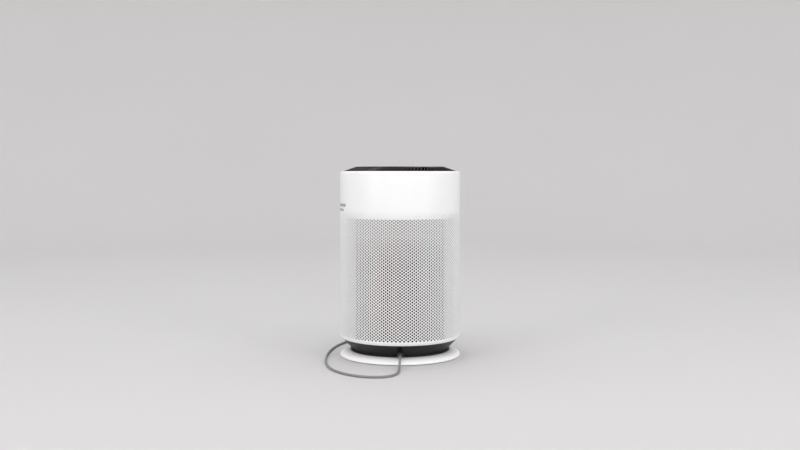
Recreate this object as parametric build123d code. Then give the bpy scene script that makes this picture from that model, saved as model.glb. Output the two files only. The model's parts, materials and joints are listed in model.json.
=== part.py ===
from build123d import *
import os
from math import cos, pi, radians, sin, sqrt, tan

# Cylindrical room air purifier. Air enters through the perforated casing, passes the
# filter cartridge and leaves through the swirled fins of the top. Millimetres, +Z up,
# origin on the floor under the axis. The supply lead leaves at -Y, the keys face +Y.

# Overall size
BODY_R = 105.0
HEIGHT = 330.0
BODY_GAP = 0.3          # least gap between pieces that move past each other

# Casing
SHELL_WALL = 1.4
SHELL_FOOT_Z = 32.3
SHELL_FULL_Z = 37.8     # the perforated shell has its full radius from here up
SEAM_Z = 251.8
LINER_T = 0.8
LINER_EDGE = 47.0        # degrees from front and back to the side liners' edges
RIM_Z = 322.1
RIM_ROUND = 4.6
RIM_OPENING_R = 99.2

# Base disc
FOOT_H = 1.0            # how far the rubber feet stand below the disc
DISC_EDGE_Z = 3.6
DISC_TOP_Z = 10.6
DISC_CROWN_R = 87.0     # the dome runs from here to the edge
DOME_MIDDLE = (98.6, 8.15)
DISC_WALL = 2.4

# Neck: an inverted cone between the base disc and the casing
NECK_FOOT_Z = DISC_TOP_Z + BODY_GAP
NECK_FOOT_R = 82.3
NECK_FLANGE_R = 87.2
NECK_FLANGE_T = 1.0
NECK_TOP_R = 100.5
NECK_TOP_Z = 31.0
NECK_SKIRT_Z = 38.0
NECK_WALL = 2.5
RECESS_W = 14.5
RECESS_TOP_Z = 21.4
GROOVE_W = 4.4
GROOVE_BACK_Y = -88.0

# Power inlet, plug and supply lead
INLET_Z = 15.3
JACK_FRONT_Y = -80.8
JACK_BACK_Y = -68.8
JACK_W = 14.0
JACK_H = 9.2
BARREL_R = 2.75
PLUG_R = 4.15
PLUG_SHOULDER_Y = -95.0
PLUG_END_Y = -108.0
PLUG_END_R = 2.3
CORD_R = 2.0
CORD_LENGTH = 1500.0

# Twist lock between base and neck
LOCK_CUP_R = 65.5
LOCK_CUP_TOP_Z = 18.8
LUG_R = 71.5
LUG_Z = 14.9
LUG_T = 2.3
LUG_ANGLE = 24.0
LUG_ANGLES = (90.0, 210.0, 330.0)
LOCK_RING_INNER_R = 67.0
LOCK_RING_R = 78.8
LOCK_RING_Z = 12.1
SHELF_Z = 14.6
SHELF_INNER_R = 73.5
UNLOCK_ANGLE = 20.0

# Filter cartridge
FILTER_R = 66.0
FILTER_FOOT_Z = 19.4
FILTER_TOP_Z = 202.8
FILTER_CAP_T = 3.2
MEDIA_R = 64.4
MEDIA_INNER_R = 48.2
CARBON_WALL = 2.0
PLEATS = 60
SLEEVE_R = 80.0          # dust sleeve that stays in the casing when the cartridge comes out
SLEEVE_FLANGE_R = 89.8

# Frame, fan deck and fan
CAGE_R = 102.0
CAGE_INNER_R = 96.0
CAGE_RIBS = 12
DECK_Z = 206.0
DECK_T = 3.0
INLET_R = 46.0
BELL_TOP_Z = 217.0
CASING_TUBE_R = 100.4
CASING_TUBE_WALL = 1.9
CASING_TUBE_TOP_Z = 312.0
IMPELLER_R = 80.0
IMPELLER_Z = 219.0
BLADE_H = 41.0
BLADES = 13
PLATE_T = 2.5
SHAFT_R = 2.45
RUNNING_CLEARANCE = 0.05
SHAFT_LOW_Z = 231.0
MOTOR_R = 27.0
MOTOR_Z = 268.5
MOUNT_Z = 290.0
MOUNT_T = 3.0
VANES = 8
LEAD_Y = -92.0
LEAD_R = 1.6

# Control panel
POST_R_AT = 46.0
CUP_Z = 300.0
CUP_R = 58.2
CUP_WALL = 2.2
CUP_TOP_Z = 325.4
BOARD_Z = 316.0
BOARD_T = 1.6
PANEL_UNDER_Z = 327.0
PANEL_TOP_Z = 329.6
SWITCH_TOP_Z = 321.5
KEY_STEM_Z = 322.4
POWER_KEY_R = 12.0
SMALL_KEY_R = 7.2
KEY_ORBIT_R = 36.0
KEY_ANGLES = {"speed_key": 130.0, "timer_key": 90.0, "light_key": 50.0}
LAMP_ORBIT_R = 49.0
LAMP_R = 1.3

# Top grille
FINS = 90
FIN_T = 1.3
FIN_TANGENT_R = 43.9    # every fin lies on a line that passes the axis at this distance
FIN_OUTER_R = 98.9
FIN_EDGE_Z = 322.3
FIN_SHOULDER_R = 76.5
FIN_LOW_Z = 313.0
HUB_R = 61.0
HUB_INNER_R = 58.6
GRILLE_RING_TOP_Z = 320.5

# Free lead: the route from the plug to the coil, chosen by hand, on the floor from the fifth point
CORD_ROUTE = [
    (0.0, PLUG_END_Y, INLET_Z),
    (0.0, -120.0, 14.5),
    (-0.5, -134.0, 8.6),
    (-1.4, -148.0, 2.7),
    (-2.6, -162.0, CORD_R),
    (-4.8, -177.0, CORD_R),
    (-14.0, -194.0, CORD_R),
    (-34.0, -203.0, CORD_R),
    (-58.0, -199.0, CORD_R),
    (-81.0, -184.0, CORD_R),
    (-101.0, -160.0, CORD_R),
    (-115.0, -130.0, CORD_R),
    (-123.0, -95.0, CORD_R),
    (-126.5, -58.0, CORD_R),
    (-127.0, -20.0, CORD_R),
    (-125.0, 20.0, CORD_R),
    (-119.5, 59.0, CORD_R),
    (-109.0, 96.0, CORD_R),
    (-93.0, 130.0, CORD_R),
    (-70.0, 157.0, CORD_R),
    (-37.0, 170.0, CORD_R),
    (0.0, 172.0, CORD_R),
    (34.0, 166.7, CORD_R + 0.8),
]
TAIL_ROUTE = [
    (30.0, 113.0, 6.8),
    (20.0, 113.3, 6.0),
    (10.0, 116.8, 5.0),
    (0.0, 118.0, 6.0),
]

# Coil of the spare length, its tie and the adapter, on the floor behind the casing
COIL_X = 30.0
COIL_Y = 140.0
COIL_MEAN_R = 23.0
COIL_COLUMNS = 3
COIL_LAYERS = 2
TIE_T = 0.8
TIE_W = 6.0
ADAPTER_X = -10.0        # the end that the lead enters
ADAPTER_Y = 130.0
ADAPTER_L = 58.0
ADAPTER_W = 36.0
ADAPTER_H = 26.0
BLADE_GAP = 12.7
BLADE_W = 6.3
BLADE_T = 1.5
BLADE_L = 17.0

STAND = (Align.CENTER, Align.CENTER, Align.MIN)


# Shared shapes

def turned(outline, rounds=None):
    """Solid of revolution about Z from (radius, height) corners, some of them rounded."""
    sketch = make_face(Polyline(*outline, close=True))
    for index, radius in (rounds or {}).items():
        corner = sketch.vertices().sort_by_distance(outline[index])[0]
        sketch = fillet(corner, radius)
    return revolve(Plane.XZ * sketch, Axis.Z)


def rod(radius, low, high, x=0.0, y=0.0):
    """Upright cylinder between two heights."""
    return Pos(x, y, low) * Cylinder(radius, high - low, align=STAND)


def tube(outer_r, inner_r, low, high, x=0.0, y=0.0):
    """Upright tube between two heights."""
    return rod(outer_r, low, high, x, y) - rod(inner_r, low, high, x, y)


def block(x_span, y_span, z_span):
    """Box given by its span on each axis."""
    spans = (x_span, y_span, z_span)
    sizes = [high - low for low, high in spans]
    middle = [(high + low) / 2 for low, high in spans]
    return Pos(*middle) * Box(*sizes)


def around(shape, radius, angles):
    """Copies of a shape set out at a radius, one at each angle in degrees."""
    return [Rot(0, 0, angle) * Pos(radius, 0, 0) * shape for angle in angles]


def even_angles(count, first=0.0):
    return [first + 360.0 * step / count for step in range(count)]


def polar(radius, angle):
    return radius * cos(radians(angle)), radius * sin(radians(angle))


def group(shapes):
    """One node made of separate solids."""
    return Compound([solid for shape in shapes for solid in shape.solids()])


def screw(head_r, head_h, shank_r, shank_l):
    """Cross-head screw with its head's seat at z = 0, the head above and the shank below."""
    head = turned([(0, 0), (head_r, 0), (head_r, head_h), (0, head_h)], {2: head_h * 0.6})
    recess_w = head_r * 0.24
    recess_l = head_r * 1.1
    recess_z = (head_h * 0.4, head_h)
    slot = block((-recess_l / 2, recess_l / 2), (-recess_w / 2, recess_w / 2), recess_z)
    return head + rod(shank_r, -shank_l, 0) - slot - Rot(0, 0, 90) * slot


def cord_path(points):
    """Straight runs joined by arcs as large as the runs allow, and the arcs' radii."""
    places = [Vector(*point) for point in points]
    radii = []
    for before, here, after in zip(places, places[1:], places[2:]):
        run_in = here - before
        run_out = after - here
        shorter = min(run_in.length, run_out.length)
        radii.append(0.45 * shorter / tan(radians(run_in.get_angle(run_out)) / 2))
    return FilletPolyline(*points, radius=radii), radii


def lead_tube(points, radius, name):
    """Round lead along a route; its radii, length and volume are printed."""
    path, radii = cord_path(points)
    first = Vector(*points[1]) - Vector(*points[0])
    section = Plane(origin=points[0], z_dir=first) * Circle(radius)
    solid = sweep(section, path=path)
    expected = pi * radius ** 2 * path.length
    print(f"{name}: length {path.length:.1f}, volume ratio {solid.volume / expected:.4f}")
    print(f"{name}: radii", [round(value, 1) for value in radii])
    return solid, path.length


# Base: turns on the neck as a twist lock

FOOT_PAD_R = 8.0
FOOT_PAD_H = 1.8
FOOT_ORBIT_R = 88.0
FOOT_ANGLES = even_angles(6, 30.0)
PLATE_R = 100.8
PLATE_TOP_Z = 3.4
BASE_SCREW_ORBIT_R = 52.0
BASE_SCREW_ANGLES = even_angles(4, 45.0)
SCREW_SEAT_Z = 2.4


def base_disc():
    """White domed disc, hollow below, with bosses for the screws of its bottom plate."""
    side = BODY_R - PLATE_R - 0.2
    dome = [(0, DISC_TOP_Z), (DISC_CROWN_R, DISC_TOP_Z), (BODY_R, DISC_EDGE_Z), (BODY_R, FOOT_H)]
    arc = ThreePointArc(dome[1], DOME_MIDDLE, dome[2])
    inner = [
        (BODY_R - side, FOOT_H), (BODY_R - side, DISC_EDGE_Z),
        (DISC_CROWN_R - 1.0, DISC_TOP_Z - DISC_WALL), (0, DISC_TOP_Z - DISC_WALL),
    ]
    sketch = make_face(Line(dome[0], dome[1]) + arc + Polyline(dome[2], dome[3], *inner, dome[0]))
    edge = sketch.vertices().sort_by_distance(dome[2])[0]
    sketch = fillet(edge, 1.1)
    corner = sketch.vertices().sort_by_distance(dome[3])[0]
    sketch = fillet(corner, 0.9)
    disc = revolve(Plane.XZ * sketch, Axis.Z)
    boss = rod(4.0, PLATE_TOP_Z, DISC_TOP_Z - DISC_WALL)
    hole = rod(1.4, PLATE_TOP_Z, DISC_TOP_Z - 1.0)
    disc = disc + around(boss, BASE_SCREW_ORBIT_R, BASE_SCREW_ANGLES)
    return disc - around(hole, BASE_SCREW_ORBIT_R, BASE_SCREW_ANGLES)


def base_plate():
    """Flat plate that closes the disc from below, with pockets for feet and screws."""
    plate = turned([(0, FOOT_H), (PLATE_R, FOOT_H), (PLATE_R, DISC_EDGE_Z - 0.3), (98.0, PLATE_TOP_Z),
                    (0, PLATE_TOP_Z)])
    pocket = rod(FOOT_PAD_R + 0.1, FOOT_H, FOOT_PAD_H)
    seat = rod(3.4, FOOT_H, SCREW_SEAT_Z) + rod(1.6, SCREW_SEAT_Z, PLATE_TOP_Z)
    plate = plate - around(pocket, FOOT_ORBIT_R, FOOT_ANGLES)
    return plate - around(seat, BASE_SCREW_ORBIT_R, BASE_SCREW_ANGLES)


def rubber_feet():
    pad = turned([(0, 0), (FOOT_PAD_R, 0), (FOOT_PAD_R, FOOT_PAD_H), (0, FOOT_PAD_H)], {1: 0.5})
    return group(around(pad, FOOT_ORBIT_R, FOOT_ANGLES))


def base_screws():
    fixing = Pos(0, 0, SCREW_SEAT_Z) * Rot(180, 0, 0) * screw(3.1, 1.2, 1.4, 6.6)
    return group(around(fixing, BASE_SCREW_ORBIT_R, BASE_SCREW_ANGLES))


def lock_cup():
    """Cup on the disc that reaches into the neck, with three outward lugs."""
    low = DISC_TOP_Z
    cup = turned([(0, low), (LOCK_CUP_R, low), (LOCK_CUP_R, LOCK_CUP_TOP_Z), (LOCK_CUP_R - 2.5, LOCK_CUP_TOP_Z),
                  (LOCK_CUP_R - 2.5, low + 2.0), (0, low + 2.0)])
    for angle in LUG_ANGLES:
        cup = cup + ring_sector(LOCK_CUP_R - 1.0, LUG_R, LUG_Z, LUG_Z + LUG_T, angle, LUG_ANGLE)
    return cup


def ring_sector(inner_r, outer_r, low, high, middle, width):
    """Part of a flat ring, between two heights, about the angle of its middle."""
    corner = outer_r * 1.5
    half = radians(width / 2)
    wedge = make_face(Polyline((0, 0), (corner * cos(half), -corner * sin(half)),
                               (corner * cos(half), corner * sin(half)), close=True))
    wedge = Pos(0, 0, low) * extrude(wedge, high - low)
    return tube(outer_r, inner_r, low, high) & (Rot(0, 0, middle) * wedge)


# Neck and power inlet

NECK_SCREW_ORBIT_R = 76.0
NECK_SCREW_ANGLES = even_angles(4, 45.0)


def neck():
    """Dark inverted cone with a foot flange, the lock ring's shelf and the inlet's recess."""
    lean = (NECK_TOP_R - NECK_FOOT_R) / (NECK_TOP_Z - NECK_FOOT_Z - NECK_FLANGE_T)
    level_wall = NECK_WALL * sqrt(1 + lean ** 2)
    flange_top = NECK_FOOT_Z + NECK_FLANGE_T
    inner_foot = NECK_FOOT_R - level_wall + lean
    cone = turned([
        (inner_foot, NECK_FOOT_Z), (NECK_FLANGE_R, NECK_FOOT_Z), (NECK_FLANGE_R, flange_top),
        (NECK_FOOT_R, flange_top), (NECK_TOP_R, NECK_TOP_Z), (NECK_TOP_R, NECK_SKIRT_Z),
        (NECK_TOP_R - NECK_WALL, NECK_SKIRT_Z), (NECK_TOP_R - NECK_WALL, NECK_TOP_Z + 1.0),
        (inner_foot, flange_top + 1.0),
    ], {2: 0.4})
    envelope = turned([
        (0, NECK_FOOT_Z), (NECK_FOOT_R, NECK_FOOT_Z), (NECK_FOOT_R, flange_top),
        (NECK_TOP_R, NECK_TOP_Z), (0, NECK_TOP_Z),
    ])
    side = RECESS_W / 2 + 1.8
    back = JACK_FRONT_Y + 3.0
    pocket = block((-side, side), (-BODY_R, back), (NECK_FOOT_Z, RECESS_TOP_Z + 2.0))
    spine_w = GROOVE_W / 2 + 1.8
    spine = block((-spine_w, spine_w), (-BODY_R, GROOVE_BACK_Y + 2.0), (RECESS_TOP_Z, NECK_TOP_Z))
    shelf = tube(SHELF_INNER_R + 10.5, SHELF_INNER_R, SHELF_Z, SHELF_Z + 2.0)
    body = cone + ((pocket + spine) & envelope) + shelf
    arch_r = RECESS_W / 2
    arch_z = RECESS_TOP_Z - arch_r
    arch = block((-arch_r, arch_r), (-BODY_R, JACK_FRONT_Y), (NECK_FOOT_Z - 1.0, arch_z))
    arch = arch + Pos(0, JACK_FRONT_Y, arch_z) * Rot(90, 0, 0) * Cylinder(
        arch_r, BODY_R + JACK_FRONT_Y, align=STAND)
    groove = block((-GROOVE_W / 2, GROOVE_W / 2), (-BODY_R, GROOVE_BACK_Y), (arch_z, NECK_TOP_Z))
    seat_half = JACK_W / 2 + 0.05
    seat = block((-seat_half, seat_half), (JACK_FRONT_Y - 0.01, JACK_BACK_Y + 10.0),
                 (NECK_FOOT_Z - 1.0, INLET_Z + JACK_H / 2 + 0.05))
    hole = rod(1.4, SHELF_Z, SHELF_Z + 2.0)
    return body - arch - groove - seat - around(hole, NECK_SCREW_ORBIT_R, NECK_SCREW_ANGLES)


def lock_ring():
    """Ring under the neck's shelf whose slots let the base's lugs through."""
    ring = tube(LOCK_RING_R, LOCK_RING_INNER_R, LOCK_RING_Z, SHELF_Z)
    for angle in LUG_ANGLES:
        slot = ring_sector(LOCK_RING_INNER_R - 2.0, LUG_R + 0.7, LOCK_RING_Z, SHELF_Z,
                           angle + UNLOCK_ANGLE + LUG_ANGLE / 2 + 2.0, LUG_ANGLE + 4.0)
        ring = ring - slot
    side = RECESS_W / 2 + 2.2
    gap = block((-side, side), (-LOCK_RING_R - 1.0, -60.0), (LOCK_RING_Z, SHELF_Z))
    hole = rod(1.6, LOCK_RING_Z, SHELF_Z) + rod(3.0, LOCK_RING_Z, LOCK_RING_Z + 1.2)
    return ring - gap - around(hole, NECK_SCREW_ORBIT_R, NECK_SCREW_ANGLES)


def neck_screws():
    fixing = Pos(0, 0, LOCK_RING_Z + 1.2) * Rot(180, 0, 0) * screw(2.6, 1.1, 1.4, 3.3)
    return group(around(fixing, NECK_SCREW_ORBIT_R, NECK_SCREW_ANGLES))


def dc_jack():
    """Barrel socket at the back of the neck's recess."""
    half = JACK_W / 2
    body = block((-half, half), (JACK_FRONT_Y, JACK_BACK_Y), (INLET_Z - JACK_H / 2, INLET_Z + JACK_H / 2))
    bore = Pos(0, JACK_FRONT_Y, INLET_Z) * Rot(-90, 0, 0) * Cylinder(
        BARREL_R + RUNNING_CLEARANCE, 10.0, align=STAND)
    return body - bore


# Casing

def perforated_shell():
    """Lower casing, where the air enters; its perforations belong to the visual model."""
    inner = BODY_R - SHELL_WALL
    lip = NECK_TOP_R + 0.3
    return turned([
        (lip, SHELL_FOOT_Z), (102.4, SHELL_FOOT_Z), (BODY_R, SHELL_FULL_Z), (BODY_R, SEAM_Z),
        (inner, SEAM_Z), (inner, NECK_SKIRT_Z - 0.5), (lip, SHELL_FOOT_Z + 2.2),
    ], {2: 6.0, 1: 0.7})


def upper_shell():
    """Plain upper casing with a rounded rim round the top grille."""
    inner = BODY_R - SHELL_WALL - 0.4
    low = SEAM_Z + 0.1
    return turned([
        (inner, low), (BODY_R, low), (BODY_R, RIM_Z), (RIM_OPENING_R, RIM_Z),
        (RIM_OPENING_R, RIM_Z - 2.4), (inner, RIM_Z - 6.0),
    ], {2: RIM_ROUND, 1: 0.4})


def joining_ring():
    """White ring that joins the two shells from inside and backs the topmost holes."""
    return tube(BODY_R - SHELL_WALL - 0.5, CASING_TUBE_R + 0.1, SEAM_Z - 10.3, SEAM_Z + 10.2)


def side_liners():
    """Two thin curved sheets that close the perforations at the casing's sides."""
    sheet_r = BODY_R - SHELL_WALL - 0.3
    low = NECK_SKIRT_Z + 0.1
    high = SEAM_Z - 10.5
    sheet = tube(sheet_r, sheet_r - LINER_T, low, high)
    return group([sheet & ring_sector(sheet_r - 5.0, sheet_r + 2.0, low, high, middle, 2 * (90.0 - LINER_EDGE))
                  for middle in (0.0, 180.0)])


# Frame and filter

CAGE_SCREW_ORBIT_R = 94.8
CAGE_RING_INNER_R = 90.0
CAGE_SCREW_ANGLES = even_angles(4, 45.0)


def inner_cage():
    """Frame of ribs and hoops that carries the fan deck on the neck."""
    low = NECK_SKIRT_Z
    ring_low = DECK_Z - 6.0
    cage = tube(CAGE_R, CAGE_RING_INNER_R + 3.0, low, low + 3.0)
    cage = cage + tube(CAGE_R, CAGE_RING_INNER_R, ring_low, DECK_Z)
    rib = block((CAGE_INNER_R, CAGE_R - 0.5), (-1.75, 1.75), (low, DECK_Z))
    cage = cage + around(rib, 0, even_angles(CAGE_RIBS))
    for hoop_z in (95.0, 150.0):
        cage = cage + tube(CAGE_INNER_R + 2.5, CAGE_INNER_R, hoop_z, hoop_z + 2.0)
    hole = rod(1.4, ring_low, DECK_Z)
    return cage - rod(3.0, ring_low, DECK_Z, y=LEAD_Y) - around(hole, CAGE_SCREW_ORBIT_R, CAGE_SCREW_ANGLES)


def filter_media():
    """Pleated paper between the two end caps."""
    corners = []
    for angle in even_angles(PLEATS):
        corners.append(polar(MEDIA_R, angle))
        corners.append(polar(MEDIA_R - 8.0, angle + 180.0 / PLEATS))
    star = extrude(make_face(Polyline(*corners, close=True)), FILTER_TOP_Z - FILTER_FOOT_Z - 2 * FILTER_CAP_T)
    low = FILTER_FOOT_Z + FILTER_CAP_T
    return Pos(0, 0, low) * star - rod(MEDIA_INNER_R, low, FILTER_TOP_Z)


def carbon_sleeve():
    low = FILTER_FOOT_Z + FILTER_CAP_T
    return tube(MEDIA_INNER_R - 0.1, MEDIA_INNER_R - CARBON_WALL, low, FILTER_TOP_Z - FILTER_CAP_T)


def pre_filter():
    """Fine mesh sleeve round the cartridge's space, its flange bonded under the fan deck."""
    inner = SLEEVE_R - 0.8
    return turned([
        (inner, NECK_SKIRT_Z), (SLEEVE_R, NECK_SKIRT_Z), (SLEEVE_R, DECK_Z - 1.2),
        (SLEEVE_FLANGE_R, DECK_Z - 1.2), (SLEEVE_FLANGE_R, DECK_Z), (inner, DECK_Z),
    ])


def filter_bottom_cap():
    low = FILTER_FOOT_Z
    return turned([(0, low), (FILTER_R, low), (FILTER_R, low + FILTER_CAP_T), (0, low + FILTER_CAP_T)], {1: 0.8})


def filter_top_cap():
    low = FILTER_TOP_Z - FILTER_CAP_T
    return turned([(INLET_R, low), (FILTER_R, low), (FILTER_R, FILTER_TOP_Z), (INLET_R, FILTER_TOP_Z)], {2: 0.8})


def filter_gasket():
    """Foam ring that seals the cartridge against the fan deck."""
    return tube(60.0, 50.0, FILTER_TOP_Z, DECK_Z)


# Fan

MOTOR_SCREW_ORBIT_R = 18.0
MOTOR_SCREW_ANGLES = even_angles(4, 45.0)
MOTOR_CAP_Z = 284.0
VANE_INNER_R = 31.0
VANE_OUTER_R = 98.3
VANE_ANGLES = even_angles(VANES, 22.5)
POST_ANGLES = even_angles(4, 22.5)


def fan_deck():
    """Plate over the filter with a bell mouth that leads the air into the impeller."""
    top = DECK_Z + DECK_T
    deck = turned([
        (INLET_R, DECK_Z), (CAGE_R, DECK_Z), (CAGE_R, top), (INLET_R + 6.0, top),
        (INLET_R + 2.4, BELL_TOP_Z), (INLET_R, BELL_TOP_Z),
    ], {3: 5.0})
    hole = rod(1.6, DECK_Z, top)
    return deck - rod(3.0, DECK_Z, top, y=LEAD_Y) - around(hole, CAGE_SCREW_ORBIT_R, CAGE_SCREW_ANGLES)


def inlet_guard():
    """Finger guard in the deck's inlet."""
    top = DECK_Z + 2.0
    rings = [tube(INLET_R - 0.05, INLET_R - 2.0, DECK_Z, top), tube(31.5, 30.0, DECK_Z, top)]
    rings += [tube(16.5, 15.0, DECK_Z, top)]
    guard = rod(5.0, DECK_Z, top)
    spoke = block((3.0, INLET_R - 1.0), (-0.9, 0.9), (DECK_Z, top))
    return guard + rings + around(spoke, 0, even_angles(6))


def cage_screws():
    fixing = Pos(0, 0, DECK_Z + DECK_T) * screw(2.8, 1.8, 1.4, 8.0)
    return group(around(fixing, CAGE_SCREW_ORBIT_R, CAGE_SCREW_ANGLES))


def fan_casing():
    """Tube round the fan that leads the air up to the grille."""
    return tube(CASING_TUBE_R, CASING_TUBE_R - CASING_TUBE_WALL, DECK_Z + DECK_T, CASING_TUBE_TOP_Z)


def impeller():
    """Radial impeller with backward-curved blades between a back plate and a front ring."""
    blade_low = IMPELLER_Z + 2.0
    plate_z = blade_low + BLADE_H
    bore = SHAFT_R + RUNNING_CLEARANCE
    hub = turned([
        (bore, SHAFT_LOW_Z + 5.0), (12.0, SHAFT_LOW_Z + 5.0), (30.0, plate_z), (IMPELLER_R, plate_z),
        (IMPELLER_R, plate_z + PLATE_T), (bore, plate_z + PLATE_T),
    ], {2: 12.0})
    ring = tube(IMPELLER_R, 52.0, IMPELLER_Z, blade_low)
    arc = SagittaArc(polar(53.0, 0.0), polar(IMPELLER_R - 0.8, -34.0), 5.0)
    blade = Pos(0, 0, blade_low) * extrude(trace(arc, line_width=1.8), BLADE_H)
    return hub + ring + around(blade, 0, even_angles(BLADES))


def motor_shaft():
    return rod(SHAFT_R, SHAFT_LOW_Z, MOTOR_CAP_Z + 3.5)


def impeller_nut():
    nut = Pos(0, 0, SHAFT_LOW_Z) * extrude(RegularPolygon(5.2, 6), 4.9)
    return nut - rod(SHAFT_R + RUNNING_CLEARANCE, SHAFT_LOW_Z, SHAFT_LOW_Z + 5.0)


def motor_rotor():
    return tube(15.8, SHAFT_R + RUNNING_CLEARANCE, MOTOR_Z + 3.5, MOTOR_CAP_Z - 2.0)


def motor_can():
    """Motor housing with seats for both bearings."""
    seat_r = 5.0
    floor = MOTOR_Z + 2.0
    can = turned([
        (seat_r, MOTOR_Z), (MOTOR_R, MOTOR_Z), (MOTOR_R, MOUNT_Z), (0, MOUNT_Z), (0, MOTOR_CAP_Z + 4.2),
        (seat_r, MOTOR_CAP_Z + 4.2), (seat_r, MOTOR_CAP_Z), (MOTOR_R - 1.5, MOTOR_CAP_Z),
        (MOTOR_R - 1.5, floor), (seat_r, floor),
    ], {1: 1.2})
    return can - around(rod(1.4, MOTOR_CAP_Z, MOUNT_Z), MOTOR_SCREW_ORBIT_R, MOTOR_SCREW_ANGLES)


def motor_stator():
    """Laminated ring with nine slots for the windings."""
    low = MOTOR_Z + 4.0
    high = MOTOR_CAP_Z - 2.5
    ring = tube(MOTOR_R - 1.6, 17.0, low, high)
    return ring - around(block((16.0, 22.0), (-1.5, 1.5), (low, high)), 0, even_angles(9))


def motor_bearings():
    inner = SHAFT_R + RUNNING_CLEARANCE
    lower = tube(4.95, inner, MOTOR_Z, MOTOR_Z + 2.5)
    upper = tube(4.95, inner, MOTOR_CAP_Z, MOTOR_CAP_Z + 4.2)
    return group([lower, upper])


def motor_mount():
    """Hub plate, vanes and ring that hold the motor in the air duct, with posts for the panel."""
    top = MOUNT_Z + MOUNT_T
    low = MOUNT_Z - 14.0
    mount = rod(VANE_INNER_R + 2.0, MOUNT_Z, top) + tube(VANE_INNER_R + 2.0, VANE_INNER_R, low, top)
    mount = mount + tube(VANE_OUTER_R, VANE_OUTER_R - 2.0, MOUNT_Z - 8.0, top)
    vane = block((VANE_INNER_R + 1.0, VANE_OUTER_R - 1.0), (-1.0, 1.0), (low, top))
    mount = mount + around(vane, 0, VANE_ANGLES)
    mount = mount + around(rod(3.4, top, CUP_Z), POST_R_AT, POST_ANGLES)
    mount = mount - around(rod(1.2, top + 1.0, CUP_Z), POST_R_AT, POST_ANGLES)
    mount = mount - around(rod(4.6, MOUNT_Z, top), MOTOR_SCREW_ORBIT_R, MOTOR_SCREW_ANGLES)
    return mount - rod(8.0, MOUNT_Z, top)


def motor_bushes():
    """Rubber bushes that keep the motor's vibration out of the mount."""
    bush = tube(4.5, 1.7, MOUNT_Z, MOUNT_Z + MOUNT_T + 0.4)
    return group(around(bush, MOTOR_SCREW_ORBIT_R, MOTOR_SCREW_ANGLES))


def motor_screws():
    fixing = Pos(0, 0, MOUNT_Z + MOUNT_T + 0.4) * screw(3.2, 2.0, 1.4, 8.8)
    return group(around(fixing, MOTOR_SCREW_ORBIT_R, MOTOR_SCREW_ANGLES))


def internal_lead():
    """Wire from the jack up past the fan to the control board's housing."""
    route = [
        (0.0, -74.0, INLET_Z + JACK_H / 2), (0.0, -74.0, 27.0), (0.0, -82.5, 34.0), (0.0, LEAD_Y + 1.0, 44.0),
        (0.0, LEAD_Y, 58.0), (0.6, LEAD_Y, 80.0), (0.0, LEAD_Y, 115.0), (0.6, LEAD_Y, 150.0),
        (0.0, LEAD_Y, 190.0), (0.6, LEAD_Y, 230.0), (0.0, LEAD_Y, 265.0), (0.5, LEAD_Y, 288.0),
        (0.0, LEAD_Y + 3.0, 300.0), (0.0, LEAD_Y + 15.0, 307.0), (0.0, -CUP_R + 3.5, 308.0),
    ]
    return lead_tube(route, LEAD_R, "internal_lead")[0]


# Control panel

BOARD_SCREW_ANGLES = (67.0, 187.0, 307.0)


def key_places():
    places = {"power_key": (0.0, 0.0)}
    for name, angle in KEY_ANGLES.items():
        places[name] = polar(KEY_ORBIT_R, angle)
    return places


def panel_housing():
    """Cup under the control panel that holds the board."""
    inner = CUP_R - CUP_WALL
    floor = CUP_Z + 2.5
    cup = turned([(0, CUP_Z), (CUP_R, CUP_Z), (CUP_R, CUP_TOP_Z), (inner, CUP_TOP_Z), (inner, floor), (0, floor)],
                 {1: 2.0})
    cup = cup + around(rod(3.0, floor, BOARD_Z), POST_R_AT, BOARD_SCREW_ANGLES)
    cup = cup - around(rod(1.1, floor + 4.0, BOARD_Z), POST_R_AT, BOARD_SCREW_ANGLES)
    cup = cup - around(rod(1.6, CUP_Z, floor), POST_R_AT, POST_ANGLES)
    wire_hole = Pos(0, -CUP_R - 2.0, 308.0) * Rot(-90, 0, 0) * Cylinder(LEAD_R + 0.4, 8.0, align=STAND)
    return cup - wire_hole


def housing_screws():
    fixing = Pos(0, 0, CUP_Z + 2.5) * screw(2.6, 1.8, 1.2, 7.0)
    return group(around(fixing, POST_R_AT, POST_ANGLES))


def control_board():
    board = rod(CUP_R - CUP_WALL - 1.5, BOARD_Z, BOARD_Z + BOARD_T)
    return board - around(rod(1.3, BOARD_Z, BOARD_Z + BOARD_T), POST_R_AT, BOARD_SCREW_ANGLES)


def board_screws():
    fixing = Pos(0, 0, BOARD_Z + BOARD_T) * screw(2.4, 1.6, 1.1, 8.0)
    return group(around(fixing, POST_R_AT, BOARD_SCREW_ANGLES))


def tact_switches():
    """One push switch on the board under each key."""
    low = BOARD_Z + BOARD_T
    body = block((-3.0, 3.0), (-3.0, 3.0), (low, low + 3.3)) + rod(1.7, low + 3.3, SWITCH_TOP_Z)
    return group([Pos(x, y, 0) * body for x, y in key_places().values()])


def control_panel():
    """Round gloss panel with openings for the keys and their lamps."""
    rim = CUP_R - 4.2
    panel = turned([
        (0, PANEL_UNDER_Z), (rim, PANEL_UNDER_Z), (rim, CUP_TOP_Z), (CUP_R, CUP_TOP_Z),
        (CUP_R, PANEL_TOP_Z), (0, PANEL_TOP_Z),
    ], {4: 0.6})
    panel = panel - rod(POWER_KEY_R + 3.0, PANEL_UNDER_Z, PANEL_TOP_Z)
    for angle in KEY_ANGLES.values():
        x, y = polar(KEY_ORBIT_R, angle)
        lamp_x, lamp_y = polar(LAMP_ORBIT_R, angle)
        panel = panel - rod(SMALL_KEY_R + BODY_GAP, PANEL_UNDER_Z, PANEL_TOP_Z, x, y)
        panel = panel - rod(LAMP_R, PANEL_UNDER_Z, PANEL_TOP_Z, lamp_x, lamp_y)
    return panel


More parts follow.
